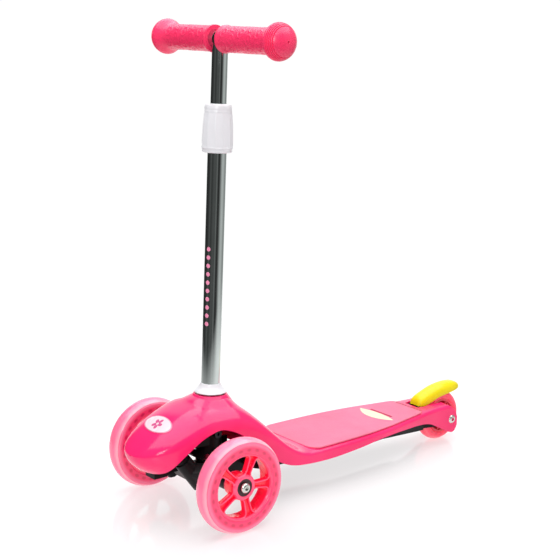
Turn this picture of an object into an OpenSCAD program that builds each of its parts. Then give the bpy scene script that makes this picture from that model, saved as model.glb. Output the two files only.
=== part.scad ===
// Three-wheeled lean-to-steer kick scooter for a small child.
// +X is the rider's left, -Y is forward and +Z is up. The origin is on the ground,
// under the middle of the scooter's length and width.

/* [Wheels] */
// Diameter of the two front wheels
front_wheel_d = 120; // [112:1:122]
// Diameter of the rear wheel
rear_wheel_d = 74; // [73:1:76]
// Width of the front tyres
front_wheel_w = 24; // [22:1:24]
// Width of the rear tyre
rear_wheel_w = 21; // [20:0.5:22]
// Distance between the middles of the front wheels
track = 199; // [197:1:208]
// Distance from the front axle to the rear axle
wheelbase = 435; // [433:1:436]

/* [Steering column] */
// Backward lean of the column from the vertical, in degrees
column_lean = 2.5; // [1.5:0.5:3.5]
// Length from the collar's top to the bottom of the clamp nut
clamp_height = 292.3; // [260:0.1:310]
// Length from the collar's top to the middle of the crossbar
crossbar_height = 428.6; // [425:0.1:440]
// Outer diameter of the lower tube
lower_tube_d = 24; // [24:0.1:24.2]
// Outer diameter of the upper tube
upper_tube_d = 20; // [19.8:0.1:20]

/* [Handlebar] */
// Diameter of the crossbar tube
crossbar_d = 22; // [20:1:24]
// Width of the handlebar over both grip knobs
handlebar_w = 264; // [250:1:280]

/* [Deck] */
// Height of the deck above the ground
deck_z = 60; // [60:0.5:61]
// Widest half-width of the deck
deck_half_w = 60.5; // [58:0.5:61]
// Thickness of the moulded body shell
shell_wall = 2.6; // [2.4:0.1:2.8]

/* [Front cover] */
// Height of the top of the front cover
cover_z = 141; // [139:1:142]
// Distance that the nose reaches ahead of the front axle
nose_reach = 92; // [90:1:94]

/* [Steering] */
// Forward lean of the kingpins from the vertical, in degrees
kingpin_lean = 37; // [35:1:38]
// Distance of each kingpin from the middle
kingpin_x = 34; // [33:1:35]

/* [Hidden] */
$fn = 64;

// Colours
pink = [1, 0.33, 0.52];
deep_pink = [0.97, 0.16, 0.32];
tyre_pink = [1, 0.62, 0.74];
pad_pink = [1, 0.66, 0.78];
cream = [0.96, 0.93, 0.72];
yellow = [0.93, 0.88, 0.05];
off_white = [0.9, 0.89, 0.92];
chrome = [0.75, 0.77, 0.78];
steel = [0.6, 0.61, 0.62];
black = [0.08, 0.08, 0.09];

// Places. The drawing frame has its origin on the ground under the front axle, and
// front_axle_y moves it so that the part's own origin is under the middle.
front_axle_y = -191;
front_axle_z = front_wheel_d / 2;
rear_axle_z = rear_wheel_d / 2;
column_y = 28.6;
column_z = 159.3;
fit_gap = 0.05;

// ---------- helpers ----------

// Cubic curve through a list of [y, value] stations
function station(y, t, i = 0) = (i >= len(t) - 2 || y < t[i + 1][0]) ? i : station(y, t, i + 1);
function slope(t, i) = (i == 0 || i == len(t) - 1) ? 0
  : (t[i + 1][1] - t[i - 1][1]) / (t[i + 1][0] - t[i - 1][0]);
function clamp01(s) = min(1, max(0, s));
function curve(y, t) = let (
    i = station(y, t),
    a = t[i],
    b = t[i + 1],
    h = b[0] - a[0],
    s = clamp01((y - a[0]) / h)
  )
  (2 * pow(s, 3) - 3 * s * s + 1) * a[1] + (pow(s, 3) - 2 * s * s + s) * h * slope(t, i)
  + (3 * s * s - 2 * pow(s, 3)) * b[1] + (pow(s, 3) - s * s) * h * slope(t, i + 1);
function smooth(s) = let (c = clamp01(s)) c * c * (3 - 2 * c);
function mix(a, b, s) = a + (b - a) * s;

// Side view outline (Y across, Z up) drawn out along X from x0 to x1
module side_prism(x0, x1) {
  translate([x0, 0, 0]) rotate([90, 0, 90]) linear_extrude(x1 - x0) children();
}

// Cylinder along X from x0 to x1, round the line through y and z
module x_rod(x0, x1, r, y = 0, z = 0) {
  translate([x0, y, z]) rotate([0, 90, 0]) cylinder(h = x1 - x0, r = r);
}

// Solid skin over a list of rings that all have the same number of points
module skin(rings) {
  n = len(rings[0]);
  last = len(rings) - 1;
  points = [for (ring = rings) each ring];
  sides = [for (i = [0 : last - 1]) for (j = [0 : n - 1])
    let (k = (j + 1) % n)
    each [[i * n + j, i * n + k, (i + 1) * n + k], [i * n + j, (i + 1) * n + k, (i + 1) * n + j]]];
  caps = [[for (j = [n - 1 : -1 : 0]) j], [for (j = [0 : n - 1]) last * n + j]];
  polyhedron(points = points, faces = concat(sides, caps));
}

module drawing_frame() {
  translate([0, front_axle_y, 0]) children();
}

// Frame of the steering column: origin at the collar's top, Z along the column
module column_frame() {
  drawing_frame() translate([0, column_y, column_z]) rotate([-column_lean, 0, 0]) children();
}

// Frame of a kingpin: origin at the middle of the knuckle's barrel, Z along the pin
kingpin_y = -25.5;
kingpin_z = 63;
module kingpin_frame(side) {
  drawing_frame() translate([side * kingpin_x, kingpin_y, kingpin_z])
    rotate([kingpin_lean, 0, 0]) children();
}

module mirrored(side) {
  if (side > 0) children();
  else mirror([1, 0, 0]) children();
}

// ---------- body shape ----------

cover_side_w = 54;
cover_shoulder = 36;
deck_shoulder = 9;
nose_z = 90;
lip_z = 60;
shell_end_y = 446;
slope_start_y = 30;
slope_end_y = 148;

// Half-width behind the axle
width_stations = [[0, cover_side_w], [60, 58], [130, deck_half_w], [196, deck_half_w],
  [250, 58.5], [300, 52.5], [345, 43.5], [380, 36.5], [405, 33], [428, 32], [shell_end_y, 32]];
function half_w(y) = y < 0
  ? cover_side_w * pow(1 - pow(min(1, -y / nose_reach), 2.3), 1 / 2.3)
  : curve(y, width_stations);
// Height of the middle line
function top_z(y) = y < 0
  ? nose_z + (cover_z - nose_z) * pow(1 - pow(min(1, -y / nose_reach), 1.5), 0.9)
  : mix(cover_z, deck_z, smooth((y - slope_start_y) / (slope_end_y - slope_start_y)));
// Height of the lowest line, which lies in the lip at the nose and below the cut elsewhere
function low_z(y) = y < -50
  ? nose_z - (nose_z - lip_z) * sqrt(1 - pow(min(1, (-y - 50) / (nose_reach - 50)), 2))
  : max(10, lip_z - (y + 50));
// How far the rounded shoulder drops below the middle line
function shoulder(y) = y < 0
  ? min(cover_shoulder, (top_z(y) - nose_z) * 0.8 + 0.2)
  : mix(cover_shoulder, deck_shoulder, smooth((y - slope_start_y) / (slope_end_y - slope_start_y)));
function top_power(y) = mix(2.5, 4, smooth((y - slope_start_y) / (slope_end_y - slope_start_y)));
function low_power(y) = mix(2.2, 9, smooth((y + 75) / 45));
function spow(v, p) = sign(v) * pow(abs(v), p);

top_steps = 18;
low_steps = 12;
// One cross-section of the body, grown by g on every side
function body_ring(y, g) = let (
    w = max(0.3, half_w(y) + g),
    middle = top_z(y) - shoulder(y),
    top = max(middle + 0.15, top_z(y) + g),
    low = min(middle - 0.15, low_z(y) - g),
    ahead = pow(min(1, max(0, -y) / nose_reach), 2),
    p = 2 / top_power(y),
    q = 2 / low_power(y)
  )
  concat(
    [for (i = [0 : top_steps - 1]) let (a = 180 * i / top_steps)
      [w * spow(cos(a), p), y - g * ahead, middle + (top - middle) * spow(sin(a), p)]],
    [for (i = [0 : low_steps - 1]) let (a = 180 + 180 * i / low_steps)
      [w * spow(cos(a), q), y - g * ahead, middle + (middle - low) * spow(sin(a), q)]]);

nose_steps = 12;
nose_span = 52;
body_stations = concat(
  [for (i = [0 : nose_steps - 1]) -nose_reach + 0.05 + nose_span * (1 - cos(90 * i / nose_steps))],
  [for (y = [-nose_reach + nose_span + 4 : 9 : 150]) y],
  [for (y = [166 : 18 : 436]) y]);
module body_solid(g) {
  skin([for (y = concat(body_stations, [shell_end_y + g])) body_ring(y, g)]);
}

// Lower edge of the shell from the nose lip, over the wheel arch and along the deck
edge_stations = [[-120, 65.5], [-73, 65.5], [-58, 78.5], [-43, 92], [-22, 107], [0, 114.7], [14, 114.2],
  [35, 104.5], [60, 86], [89, 60], [108, 49.5], [130, 44.5], [180, 42.3], [231, 45], [270, 48],
  [306, 48.3], [330, 47], [357, 45.2], [375, 42.8], [390, 38.5], [410, 31], [shell_end_y + 10, 20]];
module below_edge() {
  side_prism(-80, 80) polygon(concat(
    [for (y = [-120 : 5 : shell_end_y + 10]) [y, curve(y, edge_stations)]],
    [[shell_end_y + 10, -10], [-120, -10]]));
}

// Deck outline, inset by a distance, between two cross lines with rounded corners
function corner_cut(d, r) = d < r ? r - sqrt(r * r - pow(r - d, 2)) : 0;
module deck_outline(inset, y0, y1, r, r_end) {
  side = [for (i = [0 : 44]) let (y = mix(y0, y1, 0.5 - 0.5 * cos(180 * i / 44)))
    [half_w(y) - inset - corner_cut(y - y0, r) - corner_cut(y1 - y, r_end), y]];
  polygon(concat(side, [for (i = [44 : -1 : 0]) [-side[i][0], side[i][1]]]));
}

// Cheek beside the rear wheel, in side view
cheek_y = 445.5;
module cheek_outline() {
  polygon([[378, 42], [378, 70], [424, 70], [428, 60], [433, 56.5], [439, 51], [443.5, 45],
    [cheek_y, 39], [cheek_y, 27], [443, 21], [440, 17.6], [436, 16.6], [428, 19], [416, 25.6],
    [400, 34], [388, 39.5]]);
}
cheek_in_x = 27.5;
cheek_out_x = 32;
deck_end_y = 428;
wheel_slot_x = 15.5;
wheel_slot_y = 391.5;

pad_y0 = 152;
pad_y1 = 377;
pad_inset = 4.5;
pad_recess = 1.2;
pad_t = 1.6;
pad_r = 16;
pad_end_r = 8;
pad_gap = 0.3;

// Places of the screws that hold the shell on the chassis
screw_places = [for (s = [-1, 1]) each [[s * 38, 165], [s * 38, 250], [s * 26, 340]]];
boss_r = 4.5;
boss_h = 6;
screw_r = 2;
screw_len = 9;

neck_drop = 11;
neck_base_drop = 25;
neck_r = 21;
neck_base_r = 31;
socket_r = 16.5;

module body_shell() color(pink) drawing_frame() {
  difference() {
    union() {
      difference() {
        body_solid(0);
        body_solid(-shell_wall);
        below_edge();
        translate([-80, deck_end_y, 0]) cube([160, 60, 100]);
      }
      translate([0, column_y, column_z]) rotate([-column_lean, 0, 0])
        rotate_extrude() polygon([[0, -neck_drop], [neck_r, -neck_drop], [neck_r + 2, -14],
          [neck_r + 5, -18.5], [neck_base_r, -neck_base_drop], [0, -neck_base_drop]]);
      for (p = screw_places)
        translate([p[0], p[1], tray_z(p[1]) + boss_h])
          cylinder(h = deck_z - 2 - tray_z(p[1]) - boss_h, r = boss_r);
      intersection() {
        body_solid(0);
        for (s = [-1, 1]) mirrored(s) side_prism(cheek_in_x, 40) cheek_outline();
      }
    }
    // Bore for the chassis socket and the tube
    translate([0, column_y, column_z]) rotate([-column_lean, 0, 0]) {
      translate([0, 0, -neck_base_drop - 20]) cylinder(h = neck_base_drop + 6.5, r = socket_r + 0.5);
      translate([0, 0, -neck_base_drop]) cylinder(h = neck_base_drop, r = lower_tube_d / 2 + 0.3);
    }
    translate([0, 0, deck_z - pad_recess]) linear_extrude(5)
      deck_outline(pad_inset - pad_gap, pad_y0 - pad_gap, pad_y1 + pad_gap, pad_r, pad_end_r);
    for (p = screw_places)
      translate([p[0], p[1], tray_z(p[1])]) cylinder(h = screw_len + 2, r = screw_r);
    // Opening for the rear wheel and the brake
    translate([-wheel_slot_x, wheel_slot_y, 0]) cube([2 * wheel_slot_x, 80, 100]);
    translate([-brake_slot_x, brake_slot_y, 40]) cube([2 * brake_slot_x, 20, 40]);
    // Holes for the rear axle, with a recess for its head and its nut
    x_rod(-40, 40, axle_r + 0.1, wheelbase, rear_axle_z);
    for (s = [-1, 1]) mirrored(s)
      x_rod(cheek_out_x - 2.2, cheek_out_x + 5, head_recess_r, wheelbase, rear_axle_z);
  }
}

// ---------- chassis ----------

chassis_floor = 3.5;
chassis_wall_z = 52;
tray_y0 = 62;
tray_y1 = 394;
tray_inset = 4.2;
// Underside of the tray, which drops towards the rear wheel
tray_stations = [[0, 51], [102, 51], [125, 46.5], [150, 45], [280, 45], [311, 41.5], [337, 38], [363, 34.5],
  [388, 32], [500, 32]];
function tray_z(y) = lookup(y, tray_stations);
module below_tray(lift) {
  side_prism(-80, 80) polygon(concat([for (t = tray_stations) [t[0], t[1] + lift]],
    [[500, -10], [0, -10]]));
}
bracket_half = 31;
bracket_plate = 8;
ear_r = 9;
barrel_half = bracket_half - bracket_plate - 0.4;
fork_in_x = 14.6;
fork_out_x = 26.8;
fork_r = 12;
kingpin_r = 4;

// C-shaped beam that holds both kingpins, in the kingpins' leaning frame
module kingpin_bracket() {
  drawing_frame() translate([0, kingpin_y, kingpin_z]) rotate([kingpin_lean, 0, 0]) {
    for (s = [-1, 1]) {
      z0 = s > 0 ? bracket_half - bracket_plate : -bracket_half;
      for (t = [-1, 1]) translate([t * kingpin_x, 0, z0]) cylinder(h = bracket_plate, r = ear_r);
      y0 = s > 0 ? -ear_r : 3;
      translate([-kingpin_x, y0, z0]) cube([2 * kingpin_x, ear_r - y0, bracket_plate]);
    }
    translate([-16, -4, bracket_plate - bracket_half]) cube([32, 14, 2 * bracket_half - bracket_plate]);
    translate([-16, 3, -bracket_half]) cube([32, 7, bracket_half]);
  }
}

module chassis() color(black) difference() {
  union() {
    kingpin_bracket();
    drawing_frame() {
      // Tray under the deck with a rim wall, cross ribs and screw bosses
      difference() {
        union() {
          difference() {
            translate([0, 0, 20]) linear_extrude(chassis_wall_z - 20)
              deck_outline(tray_inset, tray_y0, tray_y1, 14, 14);
            difference() {
              translate([0, 0, 10]) linear_extrude(50)
                deck_outline(tray_inset + 3, tray_y0 + 3, tray_y1 - 3, 12, 12);
              below_tray(chassis_floor);
            }
          }
          for (y = [110 : 46 : 340]) let (w = half_w(y) - tray_inset - 2)
            translate([-w, y, 30]) cube([2 * w, 3, chassis_wall_z - 30.5]);
          for (t = [-1, 1]) translate([t * 20 - 1.5, tray_y0 + 1, 30])
            cube([3, 320, chassis_wall_z - 30.5]);
          for (p = screw_places)
            translate([p[0], p[1], 30]) cylinder(h = tray_z(p[1]) + boss_h - 30, r = boss_r + 1.5);
        }
        below_tray(0);
      }
      // Spine from the kingpin bracket to the tray
      translate([-20, -4, 40]) cube([40, tray_y0 + 10, 14]);
      for (s = [-1, 1]) translate([s * 18 - 2, 18, 41]) cube([4, 48, 37]);
      translate([-15, -42, 84]) cube([30, 58, 10]);
      // Chin under the nose
      side_prism(-10, 10) polygon([[-64, 54.5], [-46, 54.5], [-38, 58], [-26, 58], [-26, 67],
        [-58, 67], [-64, 61]]);
      // Lugs for the brake pin
      for (s = [-1, 1]) translate([s * 17.5 - 3, brake_pin_y - 6, 34])
        cube([6, 10.5, deck_z - shell_wall - 0.4 - 34]);
      // Fork arms beside the rear wheel
      for (s = [-1, 1]) mirrored(s) side_prism(fork_in_x, fork_out_x)
        polygon([[363, tray_z(363)], [372, 51], [400, 50], [430, 49], [430, 27], [388, 32]]);
      for (s = [-1, 1]) mirrored(s) x_rod(fork_in_x, fork_out_x + 0.5, fork_r, wheelbase, rear_axle_z);
    }
    column_frame() translate([0, 0, -118]) cylinder(h = 104.5, r = socket_r);
  }
  column_frame() {
    translate([0, 0, -socket_depth]) cylinder(h = 200, r = lower_tube_d / 2 + 0.02);
    translate([0, 0, -cross_bolt_drop]) x_rod(-60, 60, cross_bolt_r + 0.1);
  }
  for (s = [-1, 1]) kingpin_frame(s)
    translate([0, 0, -60]) cylinder(h = 120, r = kingpin_r + 0.02);
  drawing_frame() {
    for (p = screw_places) translate([p[0], p[1], 0]) {
      cylinder(h = 100, r = screw_r + 0.3);
      translate([0, 0, tray_z(p[1]) + boss_h]) cylinder(h = 30, r = boss_r + 0.2);
      cylinder(h = tray_z(p[1]) + 3, r = screw_head_r + 0.3);
    }
    // Room for the shell's cheeks
    for (s = [-1, 1]) mirrored(s) translate([cheek_in_x - 0.2, 376.5, 0]) cube([30, 60, 80]);
    // Room for the rear wheel and the brake's lug
    translate([-fork_in_x, wheelbase, rear_axle_z]) rotate([0, 90, 0])
      cylinder(h = 2 * fork_in_x, r = rear_wheel_d / 2 + 2.5);
    translate([-14.4, brake_pin_y - 7, 36]) cube([28.8, 30, 40]);
    x_rod(-40, 40, brake_pin_r + 0.02, brake_pin_y, brake_pin_z);
    x_rod(-40, 40, axle_r + 0.02, wheelbase, rear_axle_z);
  }
}

// ---------- deck trim ----------

stripe_depth = 0.6;
stripe_front_r = 48.4;
stripe_front_y = 349.4;
stripe_back_r = 111.4;
stripe_back_y = 209.6;
// Crescent across the deck, between two arcs
module stripe_outline(grow = 0) {
  intersection() {
    translate([0, stripe_front_y]) circle(r = stripe_front_r + grow, $fn = 96);
    translate([0, stripe_back_y]) circle(r = stripe_back_r + grow, $fn = 96);
  }
}

module deck_pad() color(pad_pink) drawing_frame() difference() {
  translate([0, 0, deck_z - pad_recess]) linear_extrude(pad_t)
    deck_outline(pad_inset, pad_y0, pad_y1, pad_r, pad_end_r);
  translate([0, 0, deck_z - pad_recess + pad_t - stripe_depth]) {
    linear_extrude(3) stripe_outline(0.05);
    // Groove behind the crescent
    translate([-22, 323, 0]) cube([44, 1.8, 3]);
  }
}

module deck_stripe() color(cream) drawing_frame()
  translate([0, 0, deck_z - pad_recess + pad_t - stripe_depth]) linear_extrude(stripe_depth + 0.1)
    stripe_outline();

badge_y = -51;
badge_z = 121;
badge_w = 52;
badge_h = 26;
badge_t = 0.8;
module nose_badge() color(off_white) drawing_frame() difference() {
  intersection() {
    body_solid(badge_t);
    translate([0, badge_y, badge_z]) rotate([31, 0, 0]) translate([0, 0, -12])
      linear_extrude(24) scale_oval(badge_w, badge_h);
  }
  body_solid(0);
}
// Oval of four arcs, so that it stays a true curve
module scale_oval(w, h) {
  polygon([for (i = [0 : 47]) [w / 2 * cos(i * 7.5), h / 2 * sin(i * 7.5)]]);
}

screw_head_r = 4;
module shell_screws() color(steel) drawing_frame() for (p = screw_places) translate([p[0], p[1], 0]) {
  z0 = tray_z(p[1]);
  translate([0, 0, z0 + 3]) cylinder(h = screw_len - 2, r = screw_r);
  difference() {
    translate([0, 0, z0 + 0.4]) cylinder(h = 2.6, r = screw_head_r);
    translate([0, 0, z0]) cylinder(h = 1.8, r = 1.6, $fn = 6);
  }
}

// ---------- steering column ----------

lower_wall = 1.2;
upper_wall = 1.5;
socket_depth = 92;
cross_bolt_drop = 62;
cross_bolt_r = 3;
clamp_len = 59;
clamp_top = clamp_height + clamp_len;
collet_seat = 14;
lower_tube_top = clamp_height + collet_seat;
collet_r = 13;
upper_tube_bottom = 150;

module column_collar() color(off_white) column_frame() rotate_extrude()
  polygon([[lower_tube_d / 2 + 0.02, -neck_drop + 0.6], [20.2, -neck_drop + 0.6], [20.8, -10],
    [20.4, -8.9], [16.8, -5.6], [14.3, -2.2], [12.9, 1], [12.4, 1.4], [lower_tube_d / 2 + 0.02, 1.4]]);

module lower_stem_tube() color(chrome) column_frame() difference() {
  translate([0, 0, -socket_depth]) cylinder(h = lower_tube_top + socket_depth, r = lower_tube_d / 2);
  translate([0, 0, -socket_depth - 1])
    cylinder(h = lower_tube_top + socket_depth + 2, r = lower_tube_d / 2 - lower_wall);
  translate([0, 0, -cross_bolt_drop]) x_rod(-30, 30, cross_bolt_r + 0.05);
}

module stem_cross_bolt() color(steel) column_frame() translate([0, 0, -cross_bolt_drop]) {
  x_rod(-socket_r - 7, socket_r, cross_bolt_r);
  difference() {
    x_rod(socket_r, socket_r + 4, 5.2);
    translate([socket_r + 2, 0, 0]) rotate([0, 90, 0]) cylinder(h = 3, r = 2.3, $fn = 6);
  }
}

module stem_cross_nut() color(steel) column_frame() translate([0, 0, -cross_bolt_drop]) difference() {
  translate([-socket_r - 5.2, 0, 0]) rotate([0, 90, 0]) cylinder(h = 5.2, r = 5.8, $fn = 6);
  x_rod(-socket_r - 10, -socket_r + 1, cross_bolt_r + 0.02);
}

module clamp_collet() color(off_white) column_frame() difference() {
  translate([0, 0, lower_tube_top]) {
    cylinder(h = 34, r = lower_tube_d / 2);
    cylinder(h = 6, r = collet_r);
  }
  cylinder(h = 400, r = upper_tube_d / 2 + fit_gap);
  for (a = [0 : 90 : 270]) rotate([0, 0, a])
    translate([0, -0.8, lower_tube_top + 9]) cube([30, 1.6, 40]);
}

clamp_flats = 12;
flat_r = 18.7;
module clamp_nut() color(off_white) column_frame() difference() {
  translate([0, 0, clamp_height]) rotate_extrude()
    polygon([[12.1, 0], [17.6, 0], [18.6, 1.2], [18.6, 4], [19.6, 5.5], [19.7, 14], [19.4, 26],
      [18.9, 36], [17.9, 46], [17.2, 50.5], [16.9, 52], [17.1, 53], [16.6, 57], [15.2, clamp_len],
      [upper_tube_d / 2 + 0.35, clamp_len], [upper_tube_d / 2 + 0.35, clamp_len - 6],
      [13.4, clamp_len - 8], [13.4, collet_seat - 1], [12.1, collet_seat - 1]]);
  // Grip flats
  for (i = [0 : clamp_flats - 1]) rotate([0, 0, 360 / clamp_flats * i])
    translate([flat_r, -10, clamp_height + 6]) cube([6, 20, 44]);
}

module upper_stem_tube() color(chrome) column_frame() difference() {
  translate([0, 0, upper_tube_bottom])
    cylinder(h = crossbar_height - upper_tube_bottom, r = upper_tube_d / 2);
  translate([0, 0, upper_tube_bottom - 1])
    cylinder(h = crossbar_height, r = upper_tube_d / 2 - upper_wall);
  x_rod(-30, 30, crossbar_d / 2, 0, crossbar_height);
}

module stem_glide_bush() color(black) column_frame() translate([0, 0, upper_tube_bottom]) difference() {
  union() {
    cylinder(h = 22, r = lower_tube_d / 2 - lower_wall - fit_gap);
    translate([0, 0, -3]) cylinder(h = 3, r = lower_tube_d / 2 - lower_wall - fit_gap);
  }
  cylinder(h = 40, r = upper_tube_d / 2);
  translate([0, 0, -4]) cylinder(h = 8, r = 6);
}

// ---------- handlebar ----------

grip_start = 10.3;
grip_r = 15.6;
flange_r = 17;
knob_r = 22.3;
knob_reach = 18.6;
knob_x = handlebar_w / 2 - knob_reach;
crossbar_end = knob_x - 4;
module handlebar_crossbar() color(chrome) column_frame() difference() {
  x_rod(-crossbar_end, crossbar_end, crossbar_d / 2, 0, crossbar_height);
  x_rod(-handlebar_w, handlebar_w, crossbar_d / 2 - 1.5, 0, crossbar_height);
}

groove_depth = 0.96;
// Point on the domed end, at an angle from its rim
function knob_point(a, f) = [f * knob_r * cos(a), knob_x + f * knob_reach * sin(a)];
module grip() {
  rotate([0, 90, 0]) difference() {
    rotate_extrude() polygon(concat(
      [[0, grip_start], [flange_r - 0.6, grip_start], [flange_r, grip_start + 0.8],
        [flange_r, grip_start + 3], [grip_r + 0.5, grip_start + 5.4], [grip_r, grip_start + 8],
        [grip_r, knob_x - 18], [grip_r + 0.5, knob_x - 12.5], [18.2, knob_x - 8.6],
        [20.8, knob_x - 4.6], [knob_r - 0.3, knob_x - 1.6], [knob_r, knob_x]],
      [for (i = [0 : 3]) each [knob_point(8 + 8 * i, 1), knob_point(9.5 + 8 * i, groove_depth),
        knob_point(12 + 8 * i, groove_depth), knob_point(13.5 + 8 * i, 1)]],
      [for (a = [42 : 6 : 84]) knob_point(a, 1)],
      [[0, knob_x + knob_reach]]));
    cylinder(h = crossbar_end, r = crossbar_d / 2);
    cylinder(h = handlebar_w, r = 1.4);
  }
}
module left_grip() color(pink) column_frame() translate([0, 0, crossbar_height]) grip();
module right_grip() color(pink) column_frame() translate([0, 0, crossbar_height])
  mirror([1, 0, 0]) grip();

// ---------- lean-to-steer linkage ----------

barrel_r = 11;
tie_arm_y = 26.8;
tie_w = -6.5;
tie_pin_r = 3;
spring_pocket_r = 8.6;
spring_pocket_z = 8;
axle_boss_x = 86;
axle_boss_r = 12.5;
nut_x = 60;

module kingpin(side) color(steel) kingpin_frame(side) {
  translate([0, 0, -bracket_half - 3]) cylinder(h = 2 * bracket_half + 3, r = kingpin_r);
  translate([0, 0, bracket_half]) cylinder(h = 3, r = 6.5);
  difference() {
    translate([0, 0, -bracket_half - 3]) cylinder(h = 3, r = 6);
    translate([0, 0, -bracket_half - 4]) cylinder(h = 2, r = 4.6, $fn = 6);
  }
}
module left_kingpin() kingpin(1);
module right_kingpin() kingpin(-1);

coil_turns = 3;
coil_steps = 12;
wire_r = 0.9;
// Round wire wound round Z from z0, as a swept ring of 8 points
module coil(r, wire, pitch, turns, z0) {
  skin([for (i = [0 : turns * coil_steps]) let (a = 360 * i / coil_steps)
    [for (j = [0 : 7]) let (b = 45 * j)
      [(r + wire * cos(b)) * cos(a), (r + wire * cos(b)) * sin(a),
       z0 + pitch * i / coil_steps + wire * sin(b)]]]);
}
module centering_springs() color(steel) for (s = [-1, 1]) kingpin_frame(s)
  coil(6.2, wire_r, 3.4, coil_turns, spring_pocket_z + 2);

module knuckle() color(black) difference() {
  union() {
    kingpin_frame(1) {
      translate([0, 0, -barrel_half]) cylinder(h = 2 * barrel_half, r = barrel_r);
      // Arm for the tie rod
      hull() {
        translate([0, 0, tie_w - 9]) cylinder(h = 5.8, r = 7, $fn = 32);
        translate([0, tie_arm_y, tie_w - 9]) cylinder(h = 5.8, r = 6, $fn = 32);
      }
    }
    // Arm out to the stub axle
    hull() {
      drawing_frame() x_rod(56, 62, axle_boss_r, 0, front_axle_z, $fn = 32);
      kingpin_frame(1) translate([0, 0, -barrel_half + 3]) cylinder(h = 26, r = barrel_r - 1, $fn = 32);
    }
    drawing_frame() x_rod(58, axle_boss_x, axle_boss_r, 0, front_axle_z);
    drawing_frame() x_rod(axle_boss_x - 1, axle_boss_x + 1.8, 6.5, 0, front_axle_z);
  }
  kingpin_frame(1) {
    translate([0, 0, -60]) cylinder(h = 120, r = kingpin_r + fit_gap);
    // Room for the lower ear of the bracket
    translate([0, 0, -barrel_half - 20]) cylinder(h = 19.9, r = ear_r + 2.5);
    translate([0, 0, spring_pocket_z]) cylinder(h = 40, r = spring_pocket_r);
    translate([0, tie_arm_y, -30]) cylinder(h = 60, r = tie_pin_r);
  }
  drawing_frame() x_rod(nut_x, 120, axle_r, 0, front_axle_z);
}
module left_knuckle() knuckle();
module right_knuckle() mirror([1, 0, 0]) knuckle();

tie_rod_t = 5;
module tie_rod() color(black) {
  drawing_frame() translate([0, kingpin_y, kingpin_z]) rotate([kingpin_lean, 0, 0]) difference() {
    translate([0, tie_arm_y, tie_w - 2.8]) {
      for (s = [-1, 1]) translate([s * kingpin_x, 0, 0]) cylinder(h = tie_rod_t, r = 6);
      translate([-kingpin_x, -4, 0]) cube([2 * kingpin_x, 8, tie_rod_t]);
    }
    for (s = [-1, 1]) translate([s * kingpin_x, tie_arm_y, -30]) cylinder(h = 60, r = tie_pin_r + fit_gap);
  }
}

module tie_pin(side) color(steel) kingpin_frame(side) translate([0, tie_arm_y, 0]) {
  translate([0, 0, tie_w - 9]) cylinder(h = 11.6, r = tie_pin_r);
  translate([0, 0, tie_w + 2.6]) cylinder(h = 2, r = 4.8);
}
module left_tie_pin() tie_pin(1);
module right_tie_pin() tie_pin(-1);

// ---------- wheels ----------

axle_r = 4;
bearing_r = 11;
bearing_w = 7;
bearing_set = 1.2;
head_r = 6.6;
head_recess_r = 9;
front_crown_r = 17;
rear_crown_r = 12.5;
flange_t = 8;
spoke_angle = 67;
// Width of a spoke at the hub, as a share of its width past the rim
spoke_root = 0.6;

// Tyre outline: half width across, radius up, with a crowned tread and soft corners
function tyre_outline(r, r_in, w, crown_r) = let (
    half = w / 2,
    rise = crown_r - sqrt(crown_r * crown_r - pow(half - 1.5, 2)),
    span = asin((half - 1.5) / crown_r)
  )
  concat(
    [[r_in, -half + 1.2], [r_in + 1, -half], [r - rise - 2.5, -half], [r - rise - 0.9, -half + 0.5]],
    [for (i = [-6 : 6]) let (a = span * i / 6) [r - crown_r + crown_r * cos(a), crown_r * sin(a)]],
    [[r - rise - 0.9, half - 0.5], [r - rise - 2.5, half], [r_in + 1, half], [r_in, half - 1.2]]);

// Tyre round Z, moulded over a core of the given rim radius with a flange inside it
module tyre(r, rim_r, ring_r, w, crown_r) {
  difference() {
    rotate_extrude($fn = 96) polygon(tyre_outline(r, rim_r, w, crown_r));
    translate([0, 0, -flange_t / 2]) cylinder(h = flange_t, r = ring_r, $fn = 96);
  }
}

// Window between two spokes that narrow towards the hub, with its sides moved in by g
module window_outline(g, spoke_w, r_out, r_in, spokes) {
  step = 360 / spokes;
  root = spoke_root * spoke_w / 2 + g;
  tip = spoke_w / 2 + g;
  intersection() {
    difference() {
      circle(r = r_out - g, $fn = 96);
      circle(r = r_in + g);
      for (a = [0, step]) rotate(a)
        polygon([[0, -root], [r_in, -root], [r_out + 10, -tip], [r_out + 10, tip], [r_in, root], [0, root]]);
    }
    polygon([[0, 0], [80, 0], [80 * cos(step / 2), 80 * sin(step / 2)], [80 * cos(step), 80 * sin(step)]]);
  }
}

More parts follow.
